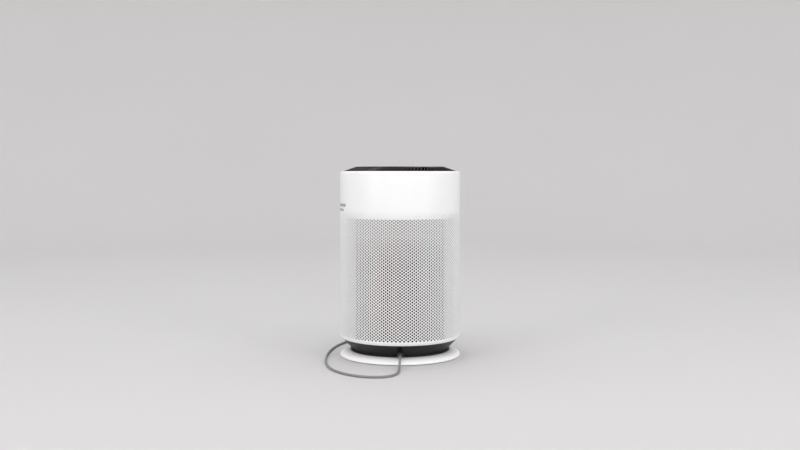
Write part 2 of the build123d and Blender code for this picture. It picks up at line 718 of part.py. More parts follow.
def light_ring():
    """Clear ring round the power key that shows the light of the board's lamps."""
    inner = POWER_KEY_R + 0.35
    outer = POWER_KEY_R + 2.95
    return turned([
        (inner, 324.8), (outer + 1.6, 324.8), (outer + 1.6, PANEL_UNDER_Z - 0.1),
        (outer, PANEL_UNDER_Z - 0.1), (outer, PANEL_TOP_Z + 0.1), (inner, PANEL_TOP_Z + 0.1),
    ])


def lamp_lenses():
    """Small clear rods that carry each lamp's light to the panel."""
    lenses = []
    for angle in KEY_ANGLES.values():
        x, y = polar(LAMP_ORBIT_R, angle)
        lenses.append(rod(LAMP_R - 0.05, 319.0, PANEL_TOP_Z, x, y))
    return group(lenses)


def key(radius):
    """Push key: a cap that stands just proud of the panel, a retaining flange and a stem."""
    flange_low = 322.9
    flange_high = 324.4
    return turned([
        (0, KEY_STEM_Z), (2.6, KEY_STEM_Z), (2.6, flange_low), (radius + 1.4, flange_low),
        (radius + 1.4, flange_high), (radius, flange_high), (radius, HEIGHT), (0, HEIGHT),
    ], {6: 0.7})


# Top grille

def fin_reach(radius):
    """Distance along a fin's line from its nearest point to the axis to a radius."""
    return sqrt(radius ** 2 - FIN_TANGENT_R ** 2)


def top_grille():
    """Swirled fins between the hub ring and the outer ring."""
    start = fin_reach(HUB_R - 1.0)
    end = fin_reach(FIN_OUTER_R) + 2.0
    fin = Pos((start + end) / 2, FIN_TANGENT_R) * Rectangle(end - start, FIN_T)
    plan = Sketch() + [Rot(0, 0, angle) * fin for angle in even_angles(FINS)]
    fins = Pos(0, 0, FIN_LOW_Z) * extrude(plan, HEIGHT - FIN_LOW_Z + 1.0)
    envelope = turned([
        (HUB_INNER_R + 1.0, FIN_LOW_Z), (FIN_OUTER_R, FIN_LOW_Z), (FIN_OUTER_R, FIN_EDGE_Z),
        (FIN_SHOULDER_R, HEIGHT), (HUB_INNER_R + 1.0, HEIGHT),
    ])
    hub = tube(HUB_R, HUB_INNER_R, FIN_LOW_Z - 1.0, HEIGHT)
    ring = tube(FIN_OUTER_R, FIN_OUTER_R - 3.2, CASING_TUBE_TOP_Z, GRILLE_RING_TOP_Z)
    return (fins & envelope) + hub + ring


# Supply lead

def dc_plug():
    """Moulded plug with a tapered strain relief."""
    outline = [
        (0, -JACK_FRONT_Y + 0.1), (PLUG_R, -JACK_FRONT_Y + 0.1), (PLUG_R, -PLUG_SHOULDER_Y),
        (PLUG_END_R, -PLUG_END_Y), (0, -PLUG_END_Y),
    ]
    return Pos(0, 0, INLET_Z) * Rot(90, 0, 0) * turned(outline, {1: 0.6, 2: 6.0})


def plug_barrel():
    """Metal sleeve of the plug, inside the jack."""
    length = 9.0
    return Pos(0, JACK_FRONT_Y - 0.1 + length, INLET_Z) * Rot(90, 0, 0) * Cylinder(BARREL_R, length, align=STAND)


def cord_coil():
    """Outer shape of the tied coil."""
    half = COIL_COLUMNS * CORD_R
    low = TIE_T
    high = TIE_T + COIL_LAYERS * 2 * CORD_R
    ring = turned([(COIL_MEAN_R - half, low), (COIL_MEAN_R + half, low), (COIL_MEAN_R + half, high),
                   (COIL_MEAN_R - half, high)], {0: 1.9, 1: 1.9, 2: 1.9, 3: 1.9})
    return Pos(COIL_X, COIL_Y, 0) * ring


def cord_tie():
    """Band wrapped round the coil's turns."""
    half = COIL_COLUMNS * CORD_R
    high = TIE_T * 2 + COIL_LAYERS * 2 * CORD_R
    band = block((COIL_MEAN_R - half - TIE_T, COIL_MEAN_R + half + TIE_T), (-TIE_W / 2, TIE_W / 2), (0, high))
    band = fillet(band.edges().filter_by(Axis.Y), 2.2)
    return Pos(COIL_X, COIL_Y, 0) * Rot(0, 0, 200) * band - cord_coil()


def adapter_relief():
    """Tapered strain relief where the lead enters the adapter."""
    length = TAIL_ROUTE[-1][0] - ADAPTER_X
    cone = turned([(0, 0), (PLUG_END_R, 0), (3.6, length), (0, length)])
    return Pos(*TAIL_ROUTE[-1]) * Rot(0, -90, 0) * cone


def power_adapter():
    """Plug-in adapter that lies on its front with its blades up."""
    body = block((ADAPTER_X - ADAPTER_L, ADAPTER_X),
                 (ADAPTER_Y - ADAPTER_W / 2, ADAPTER_Y + ADAPTER_W / 2), (0, ADAPTER_H))
    body = fillet(body.edges().filter_by(Axis.Z), 5.0)
    return fillet(body.edges().group_by(Axis.Z)[0], 1.6)


def adapter_blades():
    """Two flat contact blades."""
    middle_x = ADAPTER_X - ADAPTER_L + 18.0
    blades = []
    for side in (-1, 1):
        middle_y = ADAPTER_Y + side * BLADE_GAP / 2
        blade = block((middle_x - BLADE_W / 2, middle_x + BLADE_W / 2),
                      (middle_y - BLADE_T / 2, middle_y + BLADE_T / 2), (ADAPTER_H, ADAPTER_H + BLADE_L))
        blades.append(blade)
    return group(blades)


def free_cord():
    """Both free stretches of the lead; the coil takes up the rest of its length."""
    tube_solid, tube_length = lead_tube(CORD_ROUTE, CORD_R, "cord_tube")
    tail_solid, tail_length = lead_tube(TAIL_ROUTE, CORD_R, "cord_tail")
    coil_length = CORD_LENGTH - tube_length - tail_length
    turns = coil_length / (2 * pi * COIL_MEAN_R)
    print(f"coil: {coil_length:.0f} mm in {turns:.2f} turns of {2 * COIL_MEAN_R:.0f} mm")
    return {"cord_tube": tube_solid, "cord_tail": tail_solid}


NODE_MAKERS = [
    base_disc, base_plate, rubber_feet, base_screws, lock_cup, neck, lock_ring, neck_screws, dc_jack,
    perforated_shell, upper_shell, joining_ring, side_liners, inner_cage, filter_media, carbon_sleeve, pre_filter,
    filter_bottom_cap, filter_top_cap, filter_gasket, fan_deck, inlet_guard, cage_screws, fan_casing,
    impeller, motor_shaft, impeller_nut, motor_rotor, motor_can, motor_stator, motor_bearings,
    motor_mount, motor_bushes, motor_screws, internal_lead, panel_housing, housing_screws,
    control_board, board_screws, tact_switches, control_panel, light_ring, lamp_lenses, top_grille,
    dc_plug, plug_barrel, cord_coil, cord_tie, adapter_relief, power_adapter, adapter_blades,
]


def all_nodes():
    nodes = {maker.__name__: maker() for maker in NODE_MAKERS}
    for name, (x, y) in key_places().items():
        radius = POWER_KEY_R if name == "power_key" else SMALL_KEY_R
        nodes[name] = Pos(x, y, 0) * key(radius)
    nodes.update(free_cord())
    return nodes


os.makedirs("parts", exist_ok=True)
for name, shape in all_nodes().items():
    export_step(shape, f"parts/{name}.step")
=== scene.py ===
"""Air purifier: how its pieces look, its studio and its camera.

Outlines and places of pieces are in millimetres, and the studio and the finishes' patterns in metres.
"""
import json
import math

import bmesh
import bpy
import numpy as np
from mathutils import Matrix, Vector


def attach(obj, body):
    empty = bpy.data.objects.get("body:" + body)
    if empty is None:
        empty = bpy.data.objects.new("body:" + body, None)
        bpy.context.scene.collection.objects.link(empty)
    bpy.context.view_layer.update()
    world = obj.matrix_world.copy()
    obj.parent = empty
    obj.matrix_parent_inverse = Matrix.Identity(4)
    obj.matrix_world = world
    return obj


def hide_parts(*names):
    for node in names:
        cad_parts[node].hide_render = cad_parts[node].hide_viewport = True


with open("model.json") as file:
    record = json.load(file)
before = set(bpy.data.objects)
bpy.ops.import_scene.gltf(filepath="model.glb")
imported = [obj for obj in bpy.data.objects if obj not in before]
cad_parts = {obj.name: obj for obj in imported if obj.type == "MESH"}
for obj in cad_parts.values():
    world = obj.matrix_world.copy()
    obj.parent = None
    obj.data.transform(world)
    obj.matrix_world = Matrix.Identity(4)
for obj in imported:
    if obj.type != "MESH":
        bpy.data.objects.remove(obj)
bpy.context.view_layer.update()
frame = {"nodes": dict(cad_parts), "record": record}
NODES = frame["nodes"]
MM = 0.001
TURN = 2 * math.pi


# Sizes, as in the part's source

BODY_R = 105.0
TOP_Z = 330.0
SHELL_WALL = 1.4
SEAM_Z = 251.8
INLET_Z = 15.3
CORD_R = 2.0

HOLES_ROUND = 96            # holes in one row
HOLE_PITCH = TURN * BODY_R / HOLES_ROUND
HOLE_SIDES = 12
HOLE_R = 1.69
ROW_STEP = 2.48
LOWEST_ROW_Z = 40.2
ROWS_PER_SECTION = (21, 21, 21, 22)
CELL_MERGE = 0.00003        # metres
BORDER_SLACK = 0.00005      # metres

FINS = 90
FIN_T = 1.3
FIN_TANGENT_R = 43.9
FIN_OUTER_R = 98.9
FIN_SHOULDER_R = 76.5
FIN_LOW_Z = 313.0
FIN_EDGE_Z = 322.3
HUB_R = 61.0
HUB_INNER_R = 58.6
HUB_LOW_Z = 312.0

KEY_ORBIT_R = 36.0
KEY_FACE_Z = 329.5
KEY_ANGLES = {"speed_key": 130.0, "timer_key": 90.0, "light_key": 50.0}
KEY_RADII = {"power_key": 12.0, "speed_key": 7.2, "timer_key": 7.2, "light_key": 7.2}

COIL_X, COIL_Y = 30.0, 140.0
COIL_RADII = (27.0, 23.0, 19.0)
TIE_W, TIE_T, TIE_HIGH = 6.0, 0.75, 9.6
TIE_ANGLE = 200.0
ADAPTER_X, ADAPTER_Y = -10.0, 130.0
ADAPTER_L, ADAPTER_W, ADAPTER_H = 58.0, 36.0, 26.0
BLADES_X = ADAPTER_X - ADAPTER_L + 18.0
BLADE_GAP, BLADE_W, BLADE_T = 12.7, 6.3, 1.5

SHARP_ANGLE = 32.0          # edges sharper than this many degrees stay sharp
COPY_SHARP_ANGLE = 28.0     # the same on copies of CAD nodes
MERGE = 0.000001            # metres


# Studio

CAMERA_PLACE = (0.0, -1.732, 0.322)
CAMERA_LENS = 44.33
CAMERA_SHIFT = -0.0673
AIR_COLOUR = (0.985, 1.0, 1.025)
AIR_STRENGTH = 1.57
LIGHT_AIM = (0.0, 0.0, 0.2)
SOFTBOX_HIGH = 1.6
SOFTBOXES = {               # place, width and power
    "front_softbox": ((0.1, -2.6, 0.9), 2.0, 10.6),
    "left_softbox": ((-1.9, -1.7, 0.9), 0.9, 14.0),
    "right_softbox": ((1.9, -1.7, 0.9), 0.9, 13.5),
}
FLOOR_R = 2500.0
FLOOR_BEND_R = 1800.0
BACKDROP_TOP = 4500.0
FLOOR_SIDES = 96


def link(obj):
    bpy.context.scene.collection.objects.link(obj)
    return obj


def add_camera():
    data = bpy.data.cameras.new("camera")
    data.lens = CAMERA_LENS
    data.sensor_width = 36.0
    data.shift_y = CAMERA_SHIFT
    camera = link(bpy.data.objects.new("camera", data))
    camera.location = CAMERA_PLACE
    camera.rotation_euler = (math.radians(90), 0.0, 0.0)
    bpy.context.scene.camera = camera


def add_lights():
    for name, (place, width, power) in SOFTBOXES.items():
        data = bpy.data.lights.new(name, "AREA")
        data.shape = "RECTANGLE"
        data.size = width
        data.size_y = SOFTBOX_HIGH
        data.energy = power
        light = link(bpy.data.objects.new(name, data))
        light.location = place
        light.rotation_euler = (Vector(LIGHT_AIM) - Vector(place)).to_track_quat("-Z", "Y").to_euler()


def add_world():
    world = bpy.data.worlds.new("studio_air")
    world.use_nodes = True
    background = world.node_tree.nodes["Background"]
    background.inputs["Color"].default_value = (*AIR_COLOUR, 1.0)
    background.inputs["Strength"].default_value = AIR_STRENGTH
    bpy.context.scene.world = world


# Node graphs, for finishes and for repeated shapes

class Signal:
    """A node's output that can stand in a sum; each operator adds a Math node."""

    def __init__(self, graph, socket):
        self.graph = graph
        self.socket = socket

    def out(self, name):
        return Signal(self.graph, self.socket.node.outputs[name])

    def apply(self, operation, *others):
        return self.graph.node("ShaderNodeMath", {"operation": operation}, [self, *others])

    def __add__(self, other):
        return self.apply("ADD", other)

    def __sub__(self, other):
        return self.apply("SUBTRACT", other)

    def __rsub__(self, other):
        return self.graph.node("ShaderNodeMath", {"operation": "SUBTRACT"}, [other, self])

    def __mul__(self, other):
        return self.apply("MULTIPLY", other)

    def __truediv__(self, other):
        return self.apply("DIVIDE", other)

    def __lt__(self, other):
        return self.apply("LESS_THAN", other)

    def __gt__(self, other):
        return self.apply("GREATER_THAN", other)

    __radd__ = __add__
    __rmul__ = __mul__


class Graph:
    """A node tree that is written as calls."""

    def __init__(self, tree):
        self.tree = tree

    def node(self, kind, settings=None, sockets=None, output=0):
        """Adds a node: its settings first, then its sockets' values or links by name or place."""
        made = self.tree.nodes.new(kind)
        for name, value in (settings or {}).items():
            setattr(made, name, value)
        pairs = sockets.items() if isinstance(sockets, dict) else enumerate(sockets or [])
        for name, value in pairs:
            if isinstance(value, Signal):
                self.tree.links.new(value.socket, made.inputs[name])
            elif made.inputs[name].type == "RGBA":
                made.inputs[name].default_value = (*value, 1.0)
            else:
                made.inputs[name].default_value = value
        return Signal(self, made.outputs[output]) if made.outputs else None

    def parts(self, vector):
        """X, Y and Z of a vector."""
        split = self.node("ShaderNodeSeparateXYZ", None, [vector])
        return split, split.out("Y"), split.out("Z")

    def vector(self, x, y, z):
        return self.node("ShaderNodeCombineXYZ", None, [x, y, z])


class Finish(Graph):
    """A procedural material; patterns read the object's own coordinates."""

    def __init__(self, name):
        self.material = bpy.data.materials.new(name)
        self.material.use_nodes = True
        super().__init__(self.material.node_tree)
        self.tree.nodes.clear()
        self.point = self.node("ShaderNodeTexCoord").out("Object")

    def noise(self, size, detail=2.0, rough=0.5, point=None):
        """Soft random pattern from 0 to 1 with patches of about that size in metres."""
        sockets = {"Vector": point or self.point, "Scale": 1.0 / size, "Detail": detail, "Roughness": rough}
        return self.node("ShaderNodeTexNoise", None, sockets)

    def cells(self, size):
        """Distance from the middle of random cells of about that size in metres."""
        return self.node("ShaderNodeTexVoronoi", None, {"Vector": self.point, "Scale": 1.0 / size})

    def stretched(self, x, y, z):
        """The object's coordinates scaled on each axis."""
        return self.node("ShaderNodeMapping", None, {"Vector": self.point, "Scale": (x, y, z)})

    def mix(self, low, high, share):
        """One colour passing into another as the share goes from 0 to 1."""
        return self.node("ShaderNodeMix", {"data_type": "RGBA"}, {0: share, 6: low, 7: high}, 2)

    def round_the_axis(self, radius):
        """Distance round a cylinder of that radius, and height."""
        x, y, z = self.parts(self.point)
        return y.apply("ARCTAN2", x) * radius, z

    def between(self, value, low, high):
        """0 at one value and 1 at the other, given in millimetres, with an even change between them."""
        sockets = {"Value": value, "From Min": low * MM, "From Max": high * MM}
        return self.node("ShaderNodeMapRange", {"clamp": True}, sockets)

    def rising(self, low, high):
        """0 at one height and 1 at the other, in millimetres."""
        return self.between(self.parts(self.point)[2], low, high)

    def surface(self, colour, roughness, relief=None, depth=0.0, **constants):
        """Joins colour, roughness and relief to the shader; every other socket is a constant."""
        sockets = {name.replace("_", " "): value for name, value in constants.items()}
        sockets["Base Color"] = colour
        sockets["Roughness"] = roughness
        if relief is not None:
            sockets["Normal"] = self.node("ShaderNodeBump", None, {"Height": relief, "Distance": depth})
        shader = self.node("ShaderNodeBsdfPrincipled", None, sockets)
        self.node("ShaderNodeOutputMaterial", None, {"Surface": shader})
        return self.material


def tinted(colour, share):
    return tuple(min(1.0, part * share) for part in colour)


# Finishes

def moulded(name, colour, roughness, grain=0.0005, depth=0.000006, spread=0.03, **constants):
    """Moulded plastic: fine spark texture, faint flow clouds and handling marks in its gloss."""
    finish = Finish(name)
    spark = finish.noise(grain, 3.0, 0.6)
    clouds = finish.noise(0.035, 3.0)
    marks = finish.noise(0.011, 4.0, 0.65, finish.stretched(1.0, 1.0, 0.35))
    base = finish.mix(tinted(colour, 1 - spread), tinted(colour, 1 + spread), clouds)
    gloss = roughness + (spark - 0.5) * 0.10 + (marks - 0.5) * 0.14
    return finish.surface(base, gloss, spark * 0.8 + marks * 0.2, depth, **constants)


def white_shell_finish():
    """Satin white with a trace of dust settled in its texture."""
    finish = Finish("satin_white")
    spark = finish.noise(0.0004, 3.0, 0.6)
    clouds = finish.noise(0.06, 3.0)
    handling = finish.noise(0.018, 5.0, 0.6, finish.stretched(1.0, 1.0, 0.5))
    base = finish.mix((0.845, 0.85, 0.86), (0.885, 0.885, 0.885), clouds)
    gloss = 0.36 + (spark - 0.5) * 0.08 + (handling - 0.5) * 0.12
    return finish.surface(base, gloss, spark, 0.000005, Coat_Weight=0.12, Coat_Roughness=0.25)


def neck_finish():
    """Dark moulded cone, paler towards the foot with painted light that lifts the shade by its flange."""
    finish = Finish("neck_black")
    spark = finish.noise(0.0005, 3.0, 0.6)
    marks = finish.noise(0.011, 4.0, 0.65, finish.stretched(1.0, 1.0, 0.35))
    # painted light: paler towards the foot to lift the shade there
    dust_and_painted_light = finish.rising(24.0, 12.5)
    tone = finish.mix((0.0105, 0.0105, 0.011), (0.0125, 0.0125, 0.013), marks)
    base = finish.mix(tone, (0.046, 0.046, 0.047), dust_and_painted_light.apply("POWER", 1.7))
    gloss = 0.42 + (spark - 0.5) * 0.1 + (marks - 0.5) * 0.14
    return finish.surface(base, gloss, spark * 0.8 + marks * 0.2, 0.000006, Specular_IOR_Level=0.22)


def white_base_finish():
    """Fine matte white, finely dusty, with painted shade that greys the flat by the neck under the casing.
    """
    finish = Finish("matte_white")
    x, y, z = finish.parts(finish.point)
    radius = (x * x + y * y).apply("SQRT")
    # painted shade: greyer on the flat near the neck, where the neck and casing shade it
    out_of_painted_shade = finish.between(radius, 86.0, 97.0)
    spark = finish.noise(0.0005, 3.0, 0.6)
    dust_and_painted_light = finish.noise(0.007, 5.0, 0.7)
    brightness = out_of_painted_shade * 0.75 + dust_and_painted_light * 0.25
    base = finish.mix((0.90, 0.90, 0.905), (0.93, 0.93, 0.935), brightness)
    gloss = 0.5 + (dust_and_painted_light - 0.5) * 0.15
    return finish.surface(base, gloss, spark, 0.000006)


def metal(name, colour, roughness, along=(1.0, 1.0, 0.08)):
    """Drawn or turned metal with fine scratches along one way and dull patches."""
    finish = Finish(name)
    scratches = finish.noise(0.0004, 4.0, 0.7, finish.stretched(*along))
    patches = finish.noise(0.006, 3.0)
    base = finish.mix(tinted(colour, 0.85), tinted(colour, 1.05), patches * 0.7 + scratches * 0.3)
    gloss = roughness + (scratches - 0.5) * 0.2 + (patches - 0.5) * 0.1
    return finish.surface(base, gloss, scratches, 0.000004, Metallic=1.0)


def rubber(name, colour):
    finish = Finish(name)
    grain = finish.noise(0.0009, 4.0, 0.7)
    bloom = finish.noise(0.012, 3.0)
    base = finish.mix(tinted(colour, 0.85), tinted(colour, 1.25), bloom)
    return finish.surface(base, 0.75 + (grain - 0.5) * 0.2, grain, 0.00003)


def frame_finish_with_painted_light():
    """Dark moulded frame with painted light that pales it towards the fan, where more light falls in."""
    finish = Finish("frame_dusty")
    spark = finish.noise(0.0007, 3.0, 0.6)
    drift = finish.noise(0.012, 4.0, 0.6)
    # painted light: paler with height, standing in for the light that falls in from above
    dust_and_painted_light = finish.rising(165.0, 206.0) * (0.85 + 0.3 * drift)
    base = finish.mix((0.008, 0.008, 0.0085), (0.22, 0.22, 0.22), dust_and_painted_light)
    return finish.surface(base, 0.55 + (spark - 0.5) * 0.1, spark, 0.00001, Specular_IOR_Level=0.3)


def netting(name, colour, radius, pitch, painted_light_colour=None):
    """Woven net round a cylinder: threads up and round, and painted light that pales it near its top if that
    has a colour.
    """
    finish = Finish(name)
    around, height = finish.round_the_axis(radius)
    up = (around * (TURN / pitch)).apply("SINE") * 0.5 + 0.5
    across = (height * (TURN / pitch)).apply("SINE") * 0.5 + 0.5
    thread = up.apply("MAXIMUM", across).apply("POWER", 3.0)
    lint = finish.noise(0.009, 4.0)
    base = finish.mix(tinted(colour, 0.3), tinted(colour, 1.4), thread * (0.7 + 0.3 * lint))
    if painted_light_colour:
        # painted light: paler towards the top, standing in for the light that reaches the net there
        painted_light_share = finish.rising(160.0, 208.0) * (0.85 + 0.3 * lint)
        base = finish.mix(base, painted_light_colour, painted_light_share)
    return finish.surface(base, 0.8 + (lint - 0.5) * 0.1, thread, 0.0002)


def paper_finish():
    """Pleated fibre paper."""
    finish = Finish("filter_paper")
    fibres = finish.noise(0.0006, 5.0, 0.7, finish.stretched(1.0, 1.0, 0.25))
    patches = finish.noise(0.02, 2.0)
    base = finish.mix((0.80, 0.79, 0.75), (0.88, 0.875, 0.85), fibres * 0.6 + patches * 0.4)
    return finish.surface(base, 0.85 + (fibres - 0.5) * 0.1, fibres, 0.00004)


def carbon_finish():
    """Granules bound in a dark fleece."""
    finish = Finish("filter_carbon")
    granules = finish.cells(0.0016)
    tone = finish.noise(0.003, 3.0)
    base = finish.mix((0.008, 0.008, 0.009), (0.05, 0.05, 0.052), granules * 0.6 + tone * 0.4)
    return finish.surface(base, 0.7 + (tone - 0.5) * 0.3, granules, 0.0003)


def foam_finish():
    finish = Finish("foam")
    pores = finish.cells(0.0012)
    clouds = finish.noise(0.01, 2.0)
    base = finish.mix((0.10, 0.10, 0.105), (0.26, 0.26, 0.265), pores * 0.7 + clouds * 0.3)
    return finish.surface(base, 0.9 + (clouds - 0.5) * 0.1, pores, 0.0003)


def board_finish():
    """Solder mask over copper tracks."""
    finish = Finish("board_green")
    x, y, z = finish.parts(finish.point)
    lanes = (x * 900.0 + finish.noise(0.01, 0.0) * 6.0).apply("SINE") > 0.55
    crossings = (y * 700.0 + finish.noise(0.013, 0.0) * 7.0).apply("SINE") > 0.7
    tracks = lanes.apply("MAXIMUM", crossings)
    base = finish.mix((0.004, 0.09, 0.03), (0.012, 0.17, 0.06), tracks)
    return finish.surface(base, 0.3 + tracks * 0.1, tracks, 0.00003, Coat_Weight=0.4)


def frosted_finish():
    """Milky clear plastic that spreads a lamp's light."""
    finish = Finish("frosted_clear")
    haze = finish.noise(0.0012, 3.0)
    clouds = finish.noise(0.008, 2.0)
    base = finish.mix((0.55, 0.58, 0.60), (0.72, 0.75, 0.77), clouds)
    return finish.surface(base, 0.28 + (haze - 0.5) * 0.15, haze, 0.000008, Coat_Weight=0.5)


def ink_finish():
    """Printed grey ink, a little worn."""
    finish = Finish("printed_grey")
    wear = finish.noise(0.0012, 4.0, 0.7)
    base = finish.mix((0.13, 0.13, 0.135), (0.26, 0.26, 0.265), wear)
    return finish.surface(base, 0.45 + (wear - 0.5) * 0.2, wear, 0.000005)


def line_mask(distance, half_width):
    """1 within half a line's width, and 0 outside."""
    return distance.apply("ABSOLUTE") < half_width


def key_finish(name, middle, mark):
    """Gloss black key with a plain printed sign, set about the key's middle."""
    finish = Finish(name)
    x, y, z = finish.parts(finish.point)
    x = x - middle[0]
    y = y - middle[1]
    radius = (x * x + y * y).apply("SQRT")
    top = z > KEY_FACE_Z * MM
    printed = mark(x, y, radius) * top
    smudge = finish.noise(0.006, 4.0, 0.6)
    spark = finish.noise(0.0005, 2.0)
    base = finish.mix((0.007, 0.0075, 0.0085), (0.70, 0.71, 0.72), printed)
    gloss = 0.22 + smudge * 0.14 + printed * 0.2
    return finish.surface(base, gloss, spark, 0.000002, Specular_IOR_Level=0.3)


def power_mark(x, y, radius):
    gap = (x.apply("ABSOLUTE") < 0.0012) * (y > 0.0)
    ring = line_mask(radius - 0.0036, 0.00035) * (1.0 - gap)
    bar = line_mask(x, 0.00035) * line_mask(y - 0.0032, 0.0018)
    return ring.apply("MAXIMUM", bar)


def speed_mark(x, y, radius):
    """Three bars, each taller than the one before."""
    marks = None
    for step in range(3):
        height = 0.0009 + 0.0007 * step
        bar = line_mask(x - (step - 1) * 0.0019, 0.00045) * line_mask(y + 0.0021 - height, height)
        marks = bar if marks is None else marks.apply("MAXIMUM", bar)
    return marks


def timer_mark(x, y, radius):
    """A ring with two hands."""
    ring = line_mask(radius - 0.0027, 0.00028)
    long_hand = line_mask(x, 0.00026) * line_mask(y - 0.0008, 0.0011)
    short_hand = line_mask(y, 0.00026) * line_mask(x - 0.0006, 0.0009)
    return ring.apply("MAXIMUM", long_hand).apply("MAXIMUM", short_hand)


def light_mark(x, y, radius):
    """A dot with eight rays."""
    angle = y.apply("ARCTAN2", x)
    rays = ((angle * 8.0).apply("COSINE") > 0.62) * line_mask(radius - 0.0027, 0.0006)
    return (radius < 0.0013).apply("MAXIMUM", rays)


def key_middle(name):
    if name == "power_key":
        return 0.0, 0.0
    angle = math.radians(KEY_ANGLES[name])
    return KEY_ORBIT_R * math.cos(angle) * MM, KEY_ORBIT_R * math.sin(angle) * MM


FINISHES = {
    "white_shell": white_shell_finish(),
    "white_base": white_base_finish(),
    "dark_neck": neck_finish(),
    "grille_black": moulded("grille_gloss", (0.005, 0.0055, 0.0065), 0.2, 0.0008, 0.000003, 0.15,
                            Specular_IOR_Level=0.38),
    "panel_black": moulded("panel_satin", (0.006, 0.0065, 0.0075), 0.34, 0.001, 0.000002, 0.1,
                           Specular_IOR_Level=0.3),
    "clear_light": frosted_finish(),
    "frame_black": moulded("frame_black", (0.008, 0.008, 0.0085), 0.55, 0.0007, 0.00001, 0.15,
                           Specular_IOR_Level=0.3),
    "fan_white": moulded("fan_white", (0.60, 0.61, 0.62), 0.45, 0.0006, 0.000008, 0.05),
    "base_grey": moulded("base_grey", (0.27, 0.275, 0.28), 0.6, 0.0007, 0.00001, 0.06),
    "rubber_black": rubber("rubber_black", (0.02, 0.02, 0.021)),
    "rubber_grey": rubber("rubber_grey", (0.16, 0.16, 0.165)),
    "foam_grey": foam_finish(),
    "screw_steel": metal("screw_steel", (0.52, 0.52, 0.53), 0.35),
    "shaft_steel": metal("shaft_steel", (0.62, 0.62, 0.63), 0.25),
    "motor_can": metal("motor_can", (0.48, 0.48, 0.47), 0.38, (0.08, 0.08, 1.0)),
    "core_steel": metal("core_steel", (0.30, 0.29, 0.28), 0.45, (0.08, 0.08, 1.0)),
    "bearing_bronze": metal("bearing_bronze", (0.55, 0.34, 0.16), 0.4),
    "filter_paper": paper_finish(),
    "filter_carbon": carbon_finish(),
    # the last colour is painted light near the net's top
    "filter_mesh": netting("filter_net", (0.022, 0.022, 0.023), 0.080, 0.0016, (0.22, 0.22, 0.22)),
    "filter_cap": moulded("filter_cap", (0.05, 0.05, 0.052), 0.6, 0.0008, 0.00001, 0.1),
    "board_green": board_finish(),
    "switch_black": moulded("switch_black", (0.015, 0.015, 0.016), 0.5, 0.0006, 0.00001, 0.1),
    "cord_grey": moulded("cord_grey", (0.22, 0.22, 0.222), 0.48, 0.0006, 0.00001, 0.08),
    "plug_grey": moulded("plug_grey", (0.048, 0.049, 0.05), 0.46, 0.0006, 0.00001, 0.1),
    "tie_black": netting("tie_fabric", (0.03, 0.03, 0.032), 0.05, 0.0007),
    "adapter_black": moulded("adapter_black", (0.016, 0.016, 0.017), 0.5, 0.0006, 0.000012, 0.12),
    "plated_metal": metal("plated_metal", (0.70, 0.69, 0.66), 0.25, (1.0, 0.1, 1.0)),
}
KEY_MARKS = {"power_key": power_mark, "speed_key": speed_mark, "timer_key": timer_mark,
             "light_key": light_mark}
KEY_FINISHES = {key: key_finish(key + "_gloss", key_middle(key), mark) for key, mark in KEY_MARKS.items()}
RING_WHITE = moulded("ring_white", (0.95, 0.95, 0.95), 0.6, 0.0005, 0.000005, 0.02)
# painted shade: the white side liners are greyed so the holes in front of them read darker
LINER_PAINTED_SHADE = moulded("liner_grey", (0.47, 0.47, 0.475), 0.6, 0.0005, 0.000005, 0.02)
# dark frame with painted light that pales it towards the fan
PAINTED_LIGHT_FRAME = frame_finish_with_painted_light()

# CAD nodes that keep their own shape, by finish; the internal lead is dark behind the perforations
KEPT_NODES = {
    "dark_neck": ["lock_ring"],
    "base_grey": ["base_plate", "lock_cup"],
    "frame_black": ["inlet_guard"],
    "foam_grey": ["filter_gasket"],
    "rubber_black": ["motor_bushes"],
    "screw_steel": ["neck_screws", "cage_screws", "motor_screws", "housing_screws", "board_screws"],
    "shaft_steel": ["motor_shaft", "impeller_nut"],
    "core_steel": ["motor_rotor", "motor_stator"],
    "bearing_bronze": ["motor_bearings"],
    "filter_paper": ["filter_media"],
    "filter_carbon": ["carbon_sleeve"],
    "board_green": ["control_board"],
    "switch_black": ["tact_switches", "dc_jack", "internal_lead"],
}
# CAD nodes whose shape is copied and smoothed
SMOOTHED_NODES = {
    "dark_neck": ["neck"],
    "frame_black": ["motor_mount", "panel_housing"],
    "base_grey": ["fan_casing"],
    "panel_black": ["control_panel"],
    "fan_white": ["impeller"],
    "motor_can": ["motor_can"],
    "screw_steel": ["base_screws"],
    "filter_mesh": ["pre_filter"],
    "filter_cap": ["filter_bottom_cap", "filter_top_cap"],
}
BODY_OF = {node: body for body, nodes in frame["record"]["behaviour"]["bodies"].items() for node in nodes}


# Shapes

def tidy(mesh, sharp=SHARP_ANGLE):
    """Merges doubles, turns every face outwards and smooths all but the sharp edges."""
    shape = bmesh.new()
    shape.from_mesh(mesh)
    bmesh.ops.remove_doubles(shape, verts=shape.verts, dist=MERGE)
    bmesh.ops.dissolve_degenerate(shape, edges=shape.edges, dist=MERGE / 2)
    bmesh.ops.recalc_face_normals(shape, faces=shape.faces)
    shape.to_mesh(mesh)
    shape.free()
    mesh.shade_smooth()
    mesh.set_sharp_from_angle(angle=math.radians(sharp))
    return mesh


def smooth_copy(node):
    """A merged and smoothed copy of a CAD node's mesh."""
    return tidy(NODES[node].data.copy(), COPY_SHARP_ANGLE)


def quads(here, after, count):
    """Faces between two closed rings of points, whose numbers start at here and after."""
    return [(here + i, here + (i + 1) % count, after + (i + 1) % count, after + i) for i in range(count)]


